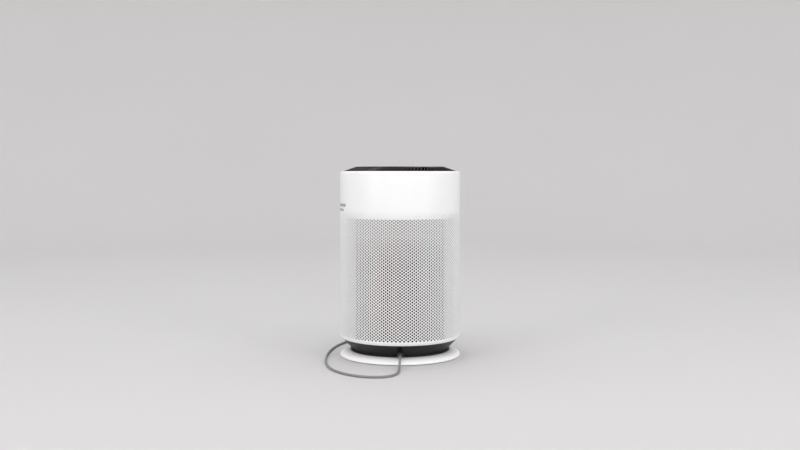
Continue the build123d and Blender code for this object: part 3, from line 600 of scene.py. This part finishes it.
def solid(rings, joined=False):
    """Closed mesh over rings of points: the last ring joins the first, or both ends are capped."""
    rings = np.asarray(rings, float) * MM
    count, size = rings.shape[:2]
    faces = []
    for ring in range(count if joined else count - 1):
        faces += quads(ring * size, (ring + 1) % count * size, size)
    if not joined:
        faces += [tuple(range(size)), tuple(range((count - 1) * size, count * size))]
    mesh = bpy.data.meshes.new("solid")
    mesh.from_pydata(rings.reshape(-1, 3).tolist(), [], faces)
    return tidy(mesh)


def arc(middle, radius, start, end, steps):
    """Points on an arc, angles in degrees."""
    angles = np.radians(np.linspace(start, end, steps + 1))
    return [(middle[0] + radius * math.cos(a), middle[1] + radius * math.sin(a)) for a in angles]


def rounded(outline, rounds, steps=5):
    """A closed outline with some corners rounded."""
    points = []
    for index, corner in enumerate(outline):
        radius = rounds.get(index) if isinstance(rounds, dict) else rounds
        if not radius:
            points.append(corner)
            continue
        here = Vector(corner)
        before = (Vector(outline[index - 1]) - here).normalized()
        after = (Vector(outline[(index + 1) % len(outline)]) - here).normalized()
        half = before.angle(after) / 2
        reach = radius / math.tan(half)
        middle = here + (before + after).normalized() * (radius / math.sin(half))
        first = here + before * reach - middle
        last = here + after * reach - middle
        for step in range(steps + 1):
            share = step / steps
            spread = first.angle(last)
            weight_first = math.sin((1 - share) * spread) / math.sin(spread)
            weight_last = math.sin(share * spread) / math.sin(spread)
            points.append(tuple(middle + first * weight_first + last * weight_last))
    return points


def turned(outline, sides=192):
    """Solid of revolution about Z from a closed outline of (radius, height)."""
    angles = np.arange(sides) * TURN / sides
    rings = [[(r * math.cos(a), r * math.sin(a), z) for r, z in outline] for a in angles]
    return solid(rings, joined=True)


def span(middle, half):
    return middle - half, middle + half


def rounded_box(x_span, y_span, corner, levels):
    """Upright box with rounded corners; levels are (height, how far its side stands in)."""
    rings = []
    for z, inset in levels:
        x0, x1 = x_span[0] + inset, x_span[1] - inset
        y0, y1 = y_span[0] + inset, y_span[1] - inset
        radius = max(corner - inset, 0.3)
        flat = rounded([(x0, y0), (x1, y0), (x1, y1), (x0, y1)], radius, 6)
        rings.append([(x, y, z) for x, y in flat])
    return solid(rings)


def moved(mesh, *steps):
    """The mesh put in place by matrices, the last one first."""
    place = Matrix.Identity(4)
    for step in steps:
        place = place @ step
    mesh.transform(place)
    return mesh


def shift(x, y, z):
    return Matrix.Translation((x * MM, y * MM, z * MM))


def turn(angle, axis):
    return Matrix.Rotation(math.radians(angle), 4, axis)


def joined_mesh(*meshes):
    """One mesh out of several."""
    shape = bmesh.new()
    for mesh in meshes:
        shape.from_mesh(mesh)
    whole = bpy.data.meshes.new("joined")
    shape.to_mesh(whole)
    shape.free()
    whole.shade_smooth()
    whole.set_sharp_from_angle(angle=math.radians(SHARP_ANGLE))
    return whole


def show(name, mesh, body, slot=None, replaces=(), finish=None):
    """Puts a mesh in the scene as a piece on a body, with its own finish or its slot's."""
    mesh.name = name
    mesh.materials.clear()
    mesh.materials.append(finish or FINISHES[slot])
    piece = link(bpy.data.objects.new(name, mesh))
    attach(piece, body)
    if replaces:
        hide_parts(*replaces)
    return piece


# Geometry Nodes: repeated shapes

class Recipe(Graph):
    """A Geometry Nodes tree with a geometry input and named sizes."""

    def __init__(self, name, sizes):
        super().__init__(bpy.data.node_groups.new(name, "GeometryNodeTree"))
        sockets = self.tree.interface
        sockets.new_socket("Piece", in_out="INPUT", socket_type="NodeSocketGeometry")
        self.identifiers = {}
        for size, kind in sizes.items():
            socket = sockets.new_socket(size, in_out="INPUT", socket_type="NodeSocket" + kind)
            self.identifiers[size] = socket.identifier
        sockets.new_socket("Made", in_out="OUTPUT", socket_type="NodeSocketGeometry")
        self.given = self.node("NodeGroupInput")

    def size(self, name):
        return self.given.out(name)

    def position(self):
        """X, Y and Z of each point."""
        return self.parts(self.node("GeometryNodeInputPosition"))

    def round_the_axis(self, angle, radius, height):
        return self.vector(angle.apply("COSINE") * radius, angle.apply("SINE") * radius, height)

    def end(self, geometry):
        """Closes the tree: real faces, smooth, with their finish."""
        real = self.node("GeometryNodeRealizeInstances", None, [geometry])
        smooth = self.node("GeometryNodeSetShadeSmooth", None, {"Geometry": real})
        coated = self.node("GeometryNodeSetMaterial", None, {
            "Geometry": smooth, "Material": self.size("Finish")})
        self.node("NodeGroupOutput", None, [coated])

    def make(self, mesh, **sizes):
        """The plain mesh that the tree makes out of a piece."""
        maker = link(bpy.data.objects.new("maker", mesh))
        modifier = maker.modifiers.new("recipe", "NODES")
        modifier.node_group = self.tree
        for name, value in sizes.items():
            modifier[self.identifiers[name.replace("_", " ")]] = value
        evaluated = maker.evaluated_get(bpy.context.evaluated_depsgraph_get())
        made = bpy.data.meshes.new_from_object(evaluated)
        maker.modifiers.remove(modifier)
        bpy.data.objects.remove(maker)
        return made


def ring_recipe():
    """Copies of a piece set out round the Z axis, each turned to face outwards."""
    sizes = {"Count": "Int", "Radius": "Float", "First angle": "Float", "Step angle": "Float",
             "Finish": "Material"}
    recipe = Recipe("ring_of_pieces", sizes)
    index = recipe.node("GeometryNodeInputIndex")
    angle = recipe.size("First angle") + index * recipe.size("Step angle")
    place = recipe.round_the_axis(angle, recipe.size("Radius"), 0.0)
    points = recipe.node("GeometryNodePoints", None, {"Count": recipe.size("Count"), "Position": place})
    copies = recipe.node("GeometryNodeInstanceOnPoints", None, {
        "Points": points, "Instance": recipe.given.out("Piece"), "Rotation": recipe.vector(0.0, 0.0, angle)})
    recipe.end(copies)
    return recipe


def perforated_recipe(name, foot, top):
    """Rows of staggered perforations, rolled into a casing.

    foot and top are the profiles that finish the two ends, as (how far outside the outer face, height).
    With none, the end follows the holes and is closed through the wall.
    """
    sizes = {"Columns": "Int", "Rows": "Int", "First row": "Int", "Pitch": "Float", "Row step": "Float",
             "Lowest row": "Float", "Wall": "Float", "Radius": "Float", "Finish": "Material"}
    recipe = Recipe(name, sizes)
    size = recipe.size
    width = (size("Columns") - 1) * size("Pitch")
    height = (size("Rows") - 1) * size("Row step")
    grid = recipe.node("GeometryNodeMeshGrid", None, {
        "Size X": width, "Size Y": height, "Vertices X": size("Columns"), "Vertices Y": size("Rows")})
    x, y, z = recipe.position()
    row = ((y + height / 2) / size("Row step")).apply("ROUND") + size("First row")
    stagger = row.apply("MODULO", 2.0) * size("Pitch") / 2
    row_z = row * size("Row step") + size("Lowest row")
    placed = recipe.node("GeometryNodeSetPosition", None, {
        "Geometry": grid, "Position": recipe.vector(x + width / 2 + stagger, 0.0, row_z)})
    copies = recipe.node("GeometryNodeInstanceOnPoints", None, {
        "Points": placed, "Instance": recipe.given.out("Piece")})
    sheet = recipe.node("GeometryNodeRealizeInstances", None, [copies])
    sheet = recipe.node("GeometryNodeMergeByDistance", None, {"Geometry": sheet, "Distance": CELL_MERGE})

    def edge_run(sheet, at_foot, outside, stations):
        """Draws one border of the sheet out through a row of stations."""
        x, y, z = recipe.position()
        faces = recipe.node("GeometryNodeInputMeshEdgeNeighbors")
        first_z = size("First row") * size("Row step") + size("Lowest row")
        border = (z < first_z + BORDER_SLACK) if at_foot else (z > first_z + height - BORDER_SLACK)
        middle = size("Wall") * -0.5
        side = (y > middle) if outside else (y < middle)
        picked = faces.apply("COMPARE", 1.0, 0.1) * border * side
        for depth, level in stations:
            drawn = recipe.node("GeometryNodeExtrudeMesh", {"mode": "EDGES"}, {
                "Mesh": sheet, "Selection": picked, "Offset Scale": 0.0})
            picked = drawn.out("Top")
            x, y, z = recipe.position()
            spot = recipe.vector(x, depth if isinstance(depth, Signal) else depth * MM,
                                 z if level is None else level * MM)
            sheet = recipe.node("GeometryNodeSetPosition", None, {
                "Geometry": drawn, "Selection": picked, "Position": spot})
        return sheet

    through_the_wall = [(size("Wall") * -1.0, None)]
    for at_foot, profile in ((True, foot), (False, top)):
        sheet = edge_run(sheet, at_foot, True, profile or through_the_wall)
        if profile:
            sheet = edge_run(sheet, at_foot, False, [profile[-1]])
    x, y, z = recipe.position()
    on_casing = recipe.round_the_axis(x / size("Radius"), size("Radius") + y, z)
    rolled = recipe.node("GeometryNodeSetPosition", None, {"Geometry": sheet, "Position": on_casing})
    closed = recipe.node("GeometryNodeMergeByDistance", None, {"Geometry": rolled, "Distance": CELL_MERGE})
    recipe.end(closed)
    return recipe


RING = ring_recipe()


def ring_of(mesh, slot, count, radius, first=0.0, step=None):
    """Copies of a piece round the Z axis, evenly unless the step is given; angles in degrees."""
    step = 360.0 / count if step is None else step
    made = RING.make(mesh, Count=count, Radius=radius * MM, First_angle=math.radians(first),
                     Step_angle=math.radians(step), Finish=FINISHES[slot])
    made.set_sharp_from_angle(angle=math.radians(SHARP_ANGLE))
    return made


# Lead, coil and adapter

LEAD_FALL = [(0.0, -108.0, INLET_Z), (0.0, -120.0, 14.5), (-0.5, -134.0, 8.6), (-1.4, -148.0, 2.7)]
LEAD_ON_FLOOR = [
    (-2.6, -162.0), (-4.8, -177.0), (-14.0, -194.0), (-34.0, -203.0), (-58.0, -199.0), (-81.0, -184.0),
    (-101.0, -160.0), (-115.0, -130.0), (-123.0, -95.0), (-126.5, -58.0), (-127.0, -20.0), (-125.0, 20.0),
    (-119.5, 59.0), (-109.0, 96.0), (-93.0, 130.0), (-70.0, 157.0), (-37.0, 170.0), (0.0, 172.0),
]
TAIL_ROUTE = [(20.0, 113.3, 6.0), (10.0, 116.8, 5.0), (0.0, 118.0, 6.0)]
COIL_TURNS = 5.5
POINTS_PER_TURN = 18
COIL_LOW_Z = 2.8
COIL_HIGH_Z = 6.8


def ease(value, start, end):
    """0 before start, 1 after end, and a straight change between them."""
    return min(1.0, max(0.0, (value - start) / (end - start)))


def coil_point(sweep):
    """Where the coil's line is after turning by sweep degrees, clockwise from its far side.

    The first three turns lie in the lower layer, and the first two of them end one step further in.
    The third climbs, and the fourth and fifth each pass one step further out in the upper layer.
    """
    outer, middle, inner = COIL_RADII
    within = sweep % 360.0
    lap = int(sweep // 360.0)
    if lap < 2:
        start, end = COIL_RADII[lap], COIL_RADII[lap + 1]
        radius = start + (end - start) * ease(within, 300.0, 360.0)
        z = COIL_LOW_Z
    elif lap == 2:
        radius = inner
        z = COIL_LOW_Z + (COIL_HIGH_Z - COIL_LOW_Z) * ease(within, 240.0, 300.0)
    else:
        start = (inner, middle, outer)[lap - 3]
        end = (middle, outer, outer)[lap - 3]
        radius = start + (end - start) * ease(within, 180.0, 240.0)
        z = COIL_HIGH_Z
    half_step = math.pi / POINTS_PER_TURN
    reach = radius / math.cos(half_step)
    angle = math.radians(90.0 - sweep)
    return COIL_X + reach * math.cos(angle), COIL_Y + reach * math.sin(angle), z


def lead_points():
    steps = int(COIL_TURNS * POINTS_PER_TURN)
    coil = [coil_point(step * 360.0 / POINTS_PER_TURN) for step in range(steps + 1)]
    return LEAD_FALL + [(x, y, CORD_R) for x, y in LEAD_ON_FLOOR] + coil + TAIL_ROUTE


def add_lead():
    """The whole lead as one smooth line, from the plug through the coil to the adapter."""
    curve = bpy.data.curves.new("supply_lead", "CURVE")
    curve.dimensions = "3D"
    curve.resolution_u = 8
    curve.bevel_depth = CORD_R * MM
    curve.bevel_resolution = 3
    curve.use_fill_caps = True
    points = lead_points()
    spline = curve.splines.new("NURBS")
    spline.points.add(len(points) - 1)
    for place, (x, y, z) in zip(spline.points, points):
        place.co = (x * MM, y * MM, z * MM, 1.0)
    spline.order_u = 3
    spline.use_endpoint_u = True
    curve.materials.append(FINISHES["cord_grey"])
    lead = link(bpy.data.objects.new("supply_lead", curve))
    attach(lead, "housing")
    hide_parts("cord_tube", "cord_coil", "cord_tail")
    return lead


def plug_mesh():
    """Moulded plug and its ribbed strain relief, along the lead's first line."""
    start, shoulder, end = 80.9, 94.6, 108.0
    radius, groove_r = 4.15, 3.85
    outline = rounded([(0.0, start), (radius, start), (radius, shoulder)], {1: 0.6})[:-1]
    for step in range(3):
        low = start + 3.2 + step * 2.6
        outline += [(radius, low), (groove_r, low + 0.35), (groove_r, low + 0.95), (radius, low + 1.3)]
    outline += [(radius, shoulder - 0.5), (3.95, shoulder)]
    ribs = 5
    ribbed = end - shoulder - 1.0
    for step in range(ribs):
        low = shoulder + 0.5 + ribbed * step / ribs
        pitch = ribbed / ribs
        outer = 3.75 - 1.3 * step / ribs
        outline += [(outer, low), (outer - 0.08, low + pitch * 0.58), (outer - 0.62, low + pitch * 0.64),
                    (outer - 0.62, low + pitch * 0.94)]
    outline += [(2.42, end - 0.5), (2.3, end - 0.15), (2.15, end), (0.0, end)]
    return moved(turned(outline, 48), shift(0, 0, INLET_Z), turn(90, "X"))


def relief_mesh():
    """Ribbed cone where the lead enters the adapter."""
    length = TAIL_ROUTE[-1][0] - ADAPTER_X
    outline = [(0.0, 0.0), (2.15, 0.0), (2.3, 0.2)]
    for step in range(3):
        low = 1.0 + step * 2.4
        outer = 2.5 + 0.33 * step
        outline += [(outer, low), (outer + 0.1, low + 1.4)]
        outline += [(outer - 0.35, low + 1.55), (outer - 0.35, low + 2.25)]
    outline += [(3.5, length - 1.4), (3.6, length + 0.3), (0.0, length + 0.3)]
    x, y, z = TAIL_ROUTE[-1]
    return moved(turned(outline, 40), shift(x, y, z), turn(-90, "Y"))


def adapter_mesh():
    """Adapter housing with a seam groove round it and a raised pad under its blades."""
    seam = 15.0
    levels = [(0.0, 1.6), (0.12, 1.0), (0.47, 0.47), (1.0, 0.12), (1.6, 0.0)]
    levels += [(seam - 0.35, 0.0), (seam - 0.3, 0.35), (seam + 0.3, 0.35), (seam + 0.35, 0.0)]
    levels += [(24.6, 0.0), (25.3, 0.18), (25.8, 0.6), (ADAPTER_H, 1.3)]
    housing = rounded_box((ADAPTER_X - ADAPTER_L, ADAPTER_X), span(ADAPTER_Y, ADAPTER_W / 2), 5.0, levels)
    pad_levels = [(ADAPTER_H - 0.5, 0.0), (ADAPTER_H + 0.25, 0.0), (ADAPTER_H + 0.4, 0.2)]
    pad = rounded_box(span(BLADES_X, 12.0), span(ADAPTER_Y, 14.0), 3.0, pad_levels)
    return joined_mesh(housing, pad)


def blades_mesh():
    """Two flat blades with chamfered tips."""
    low, high = ADAPTER_H - 1.0, ADAPTER_H + 17.0
    levels = [(low, 0.0), (high - 1.4, 0.0), (high - 0.5, 0.22), (high, 0.5)]
    blades = []
    for side in (-1, 1):
        middle_y = ADAPTER_Y + side * BLADE_GAP / 2
        blades.append(rounded_box(span(BLADES_X, BLADE_W / 2), span(middle_y, BLADE_T / 2), 0.35, levels))
    return joined_mesh(*blades)


def tie_mesh():
    """Closed band round the coil's turns, with softened edges."""
    half = TIE_W / 2
    inner_r, outer_r = 16.2, 29.8
    outside = rounded([(inner_r, 0.0), (outer_r, 0.0), (outer_r, TIE_HIGH), (inner_r, TIE_HIGH)], 2.4, 6)
    near, far, high = inner_r + TIE_T, outer_r - TIE_T, TIE_HIGH - TIE_T
    inside = rounded([(near, TIE_T), (far, TIE_T), (far, high), (near, high)], 1.7, 6)
    rings = []
    for (r, z), (r_in, z_in) in zip(outside, inside):
        edge_r, edge_z = r * 0.9 + r_in * 0.1, z * 0.9 + z_in * 0.1
        rings.append([(r, -half + 0.25, z), (r, half - 0.25, z), (edge_r, half, edge_z),
                      (r_in, half, z_in), (r_in, -half, z_in), (edge_r, -half, edge_z)])
    return moved(solid(rings, joined=True), shift(COIL_X, COIL_Y, 0.0), turn(TIE_ANGLE, "Z"))


# Casing

def hole_cell():
    """The sheet round one perforation: outer face, hole wall and inner face, within its hexagon."""
    flat = HOLE_PITCH / 4 + ROW_STEP ** 2 / HOLE_PITCH
    cap = HOLE_PITCH / 2 - flat
    corners = [(flat, 0.0), (cap, ROW_STEP), (-cap, ROW_STEP), (-flat, 0.0), (-cap, -ROW_STEP),
               (cap, -ROW_STEP)]
    rim = []
    for index, (x, z) in enumerate(corners):
        next_x, next_z = corners[(index + 1) % 6]
        rim += [(x, z), ((x + next_x) / 2, (z + next_z) / 2)]
    hole_r = HOLE_R / math.cos(math.pi / HOLE_SIDES) ** 0.5
    angles = [side * TURN / HOLE_SIDES for side in range(HOLE_SIDES)]
    hole = [(hole_r * math.cos(angle), hole_r * math.sin(angle)) for angle in angles]
    places = []
    for outline, depth in ((rim, 0.0), (hole, 0.0), (hole, -SHELL_WALL), (rim, -SHELL_WALL)):
        places += [(x * MM, depth * MM, z * MM) for x, z in outline]
    faces = []
    for band in range(3):
        faces += quads(band * HOLE_SIDES, (band + 1) * HOLE_SIDES, HOLE_SIDES)
    mesh = bpy.data.meshes.new("hole_cell")
    mesh.from_pydata(places, [], faces)
    return mesh


def add_perforated_shell():
    """The lower casing in four rings of rows, each one closed."""
    lip_r, lip_top = 6.585, 37.6
    foot = [(0.0, lip_top)]
    foot += [(-lip_r + lip_r * math.cos(math.radians(a)), lip_top - lip_r * math.sin(math.radians(a)))
             for a in (8, 16, 24, 32, 40, 47)]
    foot += [(-2.62, 32.36), (-2.95, 32.3), (-4.2, 32.3), (-4.2, 34.6), (-SHELL_WALL, lip_top)]
    top = [(0.0, SEAM_Z - 0.45), (-0.12, SEAM_Z - 0.12), (-0.45, SEAM_Z), (-SHELL_WALL, SEAM_Z)]
    first = 0
    last_section = len(ROWS_PER_SECTION) - 1
    for section, rows in enumerate(ROWS_PER_SECTION):
        recipe = perforated_recipe(f"perforated_rows_{section + 1}", foot if section == 0 else None,
                                   top if section == last_section else None)
        mesh = recipe.make(hole_cell(), Columns=HOLES_ROUND, Rows=rows, First_row=first,
                           Pitch=HOLE_PITCH * MM, Row_step=ROW_STEP * MM, Lowest_row=LOWEST_ROW_Z * MM,
                           Wall=SHELL_WALL * MM, Radius=BODY_R * MM, Finish=FINISHES["white_shell"])
        first += rows
        name = f"perforated_shell_{section + 1}"
        show(name, tidy(mesh, 40.0), "housing", "white_shell", ["perforated_shell"])


def add_casing():
    inner = BODY_R - SHELL_WALL - 0.4
    low = SEAM_Z + 0.1
    outline = [(inner, low), (BODY_R, low), (BODY_R, 322.1), (99.2, 322.1), (99.2, 319.7), (inner, 316.1)]
    shell = turned(rounded(outline, {1: 0.4, 2: 4.6, 3: 0.3, 4: 0.3}, 8), 256)
    show("upper_shell", shell, "housing", "white_shell", ["upper_shell"])
    ring = [(100.5, 241.5), (103.5, 241.5), (103.5, 251.0), (103.1, 251.4), (103.1, 262.0), (100.5, 262.0)]
    joint = turned(rounded(ring, {0: 0.4, 5: 0.4}, 3))
    show("joining_ring", joint, "housing", "white_shell", ["joining_ring"], RING_WHITE)
    # the liners' grey is painted shade behind the side holes
    liners = smooth_copy("side_liners")
    show("side_liners_smooth", liners, "housing", "white_shell", ["side_liners"], LINER_PAINTED_SHADE)


def add_printed_mark():
    """Two rows of plain bars on the casing's side."""
    rows = [                # foot, top and widths
        (261.0, 266.2, [5.9, 5.9, 3.2, 5.9, 5.9, 5.9, 3.2, 5.9, 5.9, 5.9, 3.2, 5.9, 5.9, 5.9]),
        (253.3, 257.7, [3.6, 3.6, 2.2, 3.6, 3.6, 3.6, 3.6, 2.2, 3.6, 3.6, 3.6, 3.6, 2.2, 3.6, 3.6, 3.6]),
    ]
    gap = 1.95
    face_r, root_r = BODY_R + 0.03, BODY_R - 0.3
    bars = []
    for low, high, widths in rows:
        total = sum(widths) + gap * (len(widths) - 1)
        start = -total / 2
        for width in widths:
            corner = min(0.8, width / 2 - 0.01)
            rings = []
            for share in np.linspace(-1.0, 1.0, 9):
                across = share * width / 2
                over = max(0.0, abs(across) - (width / 2 - corner))
                cut = corner - math.sqrt(max(0.0, corner ** 2 - over ** 2))
                angle = math.pi + (start + width / 2 + across) / BODY_R
                foot, top = low + cut, high - cut
                rings.append([(radius * math.cos(angle), radius * math.sin(angle), z) for radius, z in
                              ((face_r, foot), (face_r, top), (root_r, top), (root_r, foot))])
            bars.append(solid(rings))
            start += width + gap
    show("printed_mark", joined_mesh(*bars), "housing", finish=ink_finish())


# Top grille and control panel

def fin_mesh():
    """One fin, its top edge rounded, from inside the hub to the rim."""
    half = FIN_T / 2
    slope = (TOP_Z - FIN_EDGE_Z) / (FIN_OUTER_R - FIN_SHOULDER_R)
    hub_end = math.sqrt((HUB_R - 1.0) ** 2 - FIN_TANGENT_R ** 2)
    section = ((-1, None), (-1, 0.55), (-0.72, 0.16), (0, 0.0), (0.72, 0.16), (1, 0.55), (1, None))
    rings = []
    for along in (hub_end, *np.linspace(45.0, 61.0, 3), 62.65, 66.0, 71.0, 76.0, 81.0, 86.0, None):
        ring = []
        for side, drop in section:
            across = FIN_TANGENT_R + side * half
            place = math.sqrt(FIN_OUTER_R ** 2 - across ** 2) if along is None else along
            high = TOP_Z - max(0.0, math.hypot(place, across) - FIN_SHOULDER_R) * slope
            ring.append((place, across, FIN_LOW_Z if drop is None else high - drop))
        rings.append(ring)
    return solid(rings)


def add_top_grille():
    fins = ring_of(fin_mesh(), "grille_black", FINS, 0.0)
    show("grille_fins", fins, "housing", "grille_black", ["top_grille"])
    hub = [(HUB_INNER_R, HUB_LOW_Z), (HUB_R, HUB_LOW_Z), (HUB_R, TOP_Z), (HUB_INNER_R, TOP_Z)]
    hub_mesh = turned(rounded(hub, {0: 0.4, 1: 0.4, 2: 0.7, 3: 0.5}))
    show("grille_hub", hub_mesh, "housing", "grille_black", ["top_grille"])
    ring = [(95.7, HUB_LOW_Z), (FIN_OUTER_R, HUB_LOW_Z), (FIN_OUTER_R, 320.5), (95.7, 320.5)]
    show("grille_ring", turned(rounded(ring, 0.5)), "housing", "grille_black", ["top_grille"])


def key_mesh(radius):
    """Push key: dished cap with a rounded edge, retaining flange and stem."""
    stem_r, flange_r = 2.6, radius + 1.4
    stem_low, flange_low, flange_high = 322.4, 322.9, 324.4
    outline = [(0.0, stem_low), (stem_r, stem_low), (stem_r, flange_low), (flange_r, flange_low),
               (flange_r, flange_high)]
    outline += rounded([(radius, flange_high), (radius, TOP_Z), (radius - 1.6, TOP_Z)], {1: 0.7})
    outline += [(radius * share, 329.93 - 0.18 * (1 - share * share)) for share in (0.8, 0.6, 0.4, 0.2, 0.0)]
    return turned(outline, 96)


def add_control_panel():
    for name, radius in KEY_RADII.items():
        x, y = key_middle(name)
        mesh = moved(key_mesh(radius), Matrix.Translation((x, y, 0.0)))
        show(name + "_cap", mesh, name, "key_black", [name], KEY_FINISHES[name])
    ring = [(12.35, 324.8), (16.55, 324.8), (16.55, 326.9), (14.95, 326.9), (14.95, 329.7), (12.35, 329.7)]
    ring_mesh = turned(rounded(ring, {4: 0.3, 5: 0.3}), 96)
    show("power_light_ring", ring_mesh, "housing", "clear_light", ["light_ring"])
    lens = turned(rounded([(0.0, 319.0), (1.25, 319.0), (1.25, 329.6), (0.0, 329.6)], {2: 0.5}), 24)
    lenses = ring_of(lens, "clear_light", 3, 49.0, 50.0, 40.0)
    show("panel_lamp_lenses", lenses, "housing", "clear_light", ["lamp_lenses"])


# Base

def add_base():
    """The domed disc and the pads under it."""
    flat_z = 10.6
    flat_end, pull, brim = (87.0, flat_z), (98.9, 9.2), (BODY_R, 3.6)
    dome = []
    for share in np.linspace(0.0, 1.0, 13):
        bend = share * 0.985
        weights = (1 - bend) ** 2, 2 * bend * (1 - bend), bend ** 2
        dome.append(tuple(weights[0] * a + weights[1] * b + weights[2] * c
                          for a, b, c in zip(flat_end, pull, brim)))
    edge = [(104.93, 3.2), (BODY_R, 2.6), (BODY_R, 1.9), (104.75, 1.3), (104.1, 1.0)]
    under = [(101.0, 1.0), (101.0, 3.6), (86.0, 8.2), (0.0, 8.2)]
    outline = [(0.0, flat_z), (60.0, flat_z), (84.0, flat_z)] + dome + edge + under
    show("base_dome", turned(outline, 256), "base", "white_base", ["base_disc"])
    foot = rounded([(0.0, 0.0), (8.0, 0.0), (8.0, 1.8), (0.0, 1.8)], {1: 0.5})
    groove = [(0.0, 0.25), (4.6, 0.25), (4.9, 0.0)]
    pad = turned(groove + foot[1:], 40)
    feet = ring_of(pad, "rubber_grey", 6, 88.0, 30.0)
    show("foot_pads", feet, "base", "rubber_grey", ["rubber_feet"])


# Nodes that keep the frame's shape

def add_kept_nodes():
    for slot, names in KEPT_NODES.items():
        for name in names:
            mesh = NODES[name].data
            mesh.materials.clear()
            mesh.materials.append(FINISHES[slot])
    for slot, names in SMOOTHED_NODES.items():
        for name in names:
            show(name + "_smooth", smooth_copy(name), BODY_OF[name], slot, [name])
    # the inner cage and fan deck carry painted light that pales them towards the fan
    for name in ("inner_cage", "fan_deck"):
        show(name + "_smooth", smooth_copy(name), BODY_OF[name], "frame_black", [name], PAINTED_LIGHT_FRAME)


def add_floor():
    """A round pale floor that curves up into a backdrop on every side."""
    finish = Finish("studio_floor")
    tone = finish.noise(0.8, 2.0)
    base = finish.mix((0.575, 0.562, 0.553), (0.595, 0.582, 0.573), tone)
    finish.surface(base, 0.7 + (tone - 0.5) * 0.05)
    profile = [(0.0, 0.0), (600.0, 0.0), (FLOOR_R, 0.0)]
    profile += arc((FLOOR_R, FLOOR_BEND_R), FLOOR_BEND_R, -85.0, 0.0, 12)
    profile += [(FLOOR_R + FLOOR_BEND_R, BACKDROP_TOP)]
    angles = np.arange(FLOOR_SIDES) * TURN / FLOOR_SIDES
    count = len(profile)
    places = [(r * math.cos(a) * MM, r * math.sin(a) * MM, z * MM) for a in angles for r, z in profile]
    faces = []
    for side in range(FLOOR_SIDES):
        here, after = side * count, (side + 1) % FLOOR_SIDES * count
        faces += [(here + i, after + i, after + i + 1, here + i + 1) for i in range(count - 1)]
    mesh = bpy.data.meshes.new("studio_floor")
    mesh.from_pydata(places, [], faces)
    shape = bmesh.new()
    shape.from_mesh(mesh)
    bmesh.ops.remove_doubles(shape, verts=shape.verts, dist=0.00001)
    shape.to_mesh(mesh)
    shape.free()
    mesh.shade_smooth()
    mesh.materials.append(finish.material)
    floor = link(bpy.data.objects.new("studio_floor", mesh))
    floor.visible_shadow = False


add_camera()
lead = add_lead()
plug = show("moulded_plug", plug_mesh(), "housing", "plug_grey", ["dc_plug"])
barrel = show("plug_barrel_smooth", smooth_copy("plug_barrel"), "housing", "plated_metal", ["plug_barrel"])
relief = show("adapter_cable_relief", relief_mesh(), "housing", "plug_grey", ["adapter_relief"])
adapter = show("adapter_housing", adapter_mesh(), "housing", "adapter_black", ["power_adapter"])
blades = show("adapter_contact_blades", blades_mesh(), "housing", "plated_metal", ["adapter_blades"])
tie = show("coil_tie_band", tie_mesh(), "housing", "tie_black", ["cord_tie"])
add_kept_nodes()
add_perforated_shell()
add_casing()
add_printed_mark()
add_top_grille()
add_control_panel()
add_base()

bpy.context.scene.view_settings.view_transform = "Standard"
add_world()
add_lights()
add_floor()
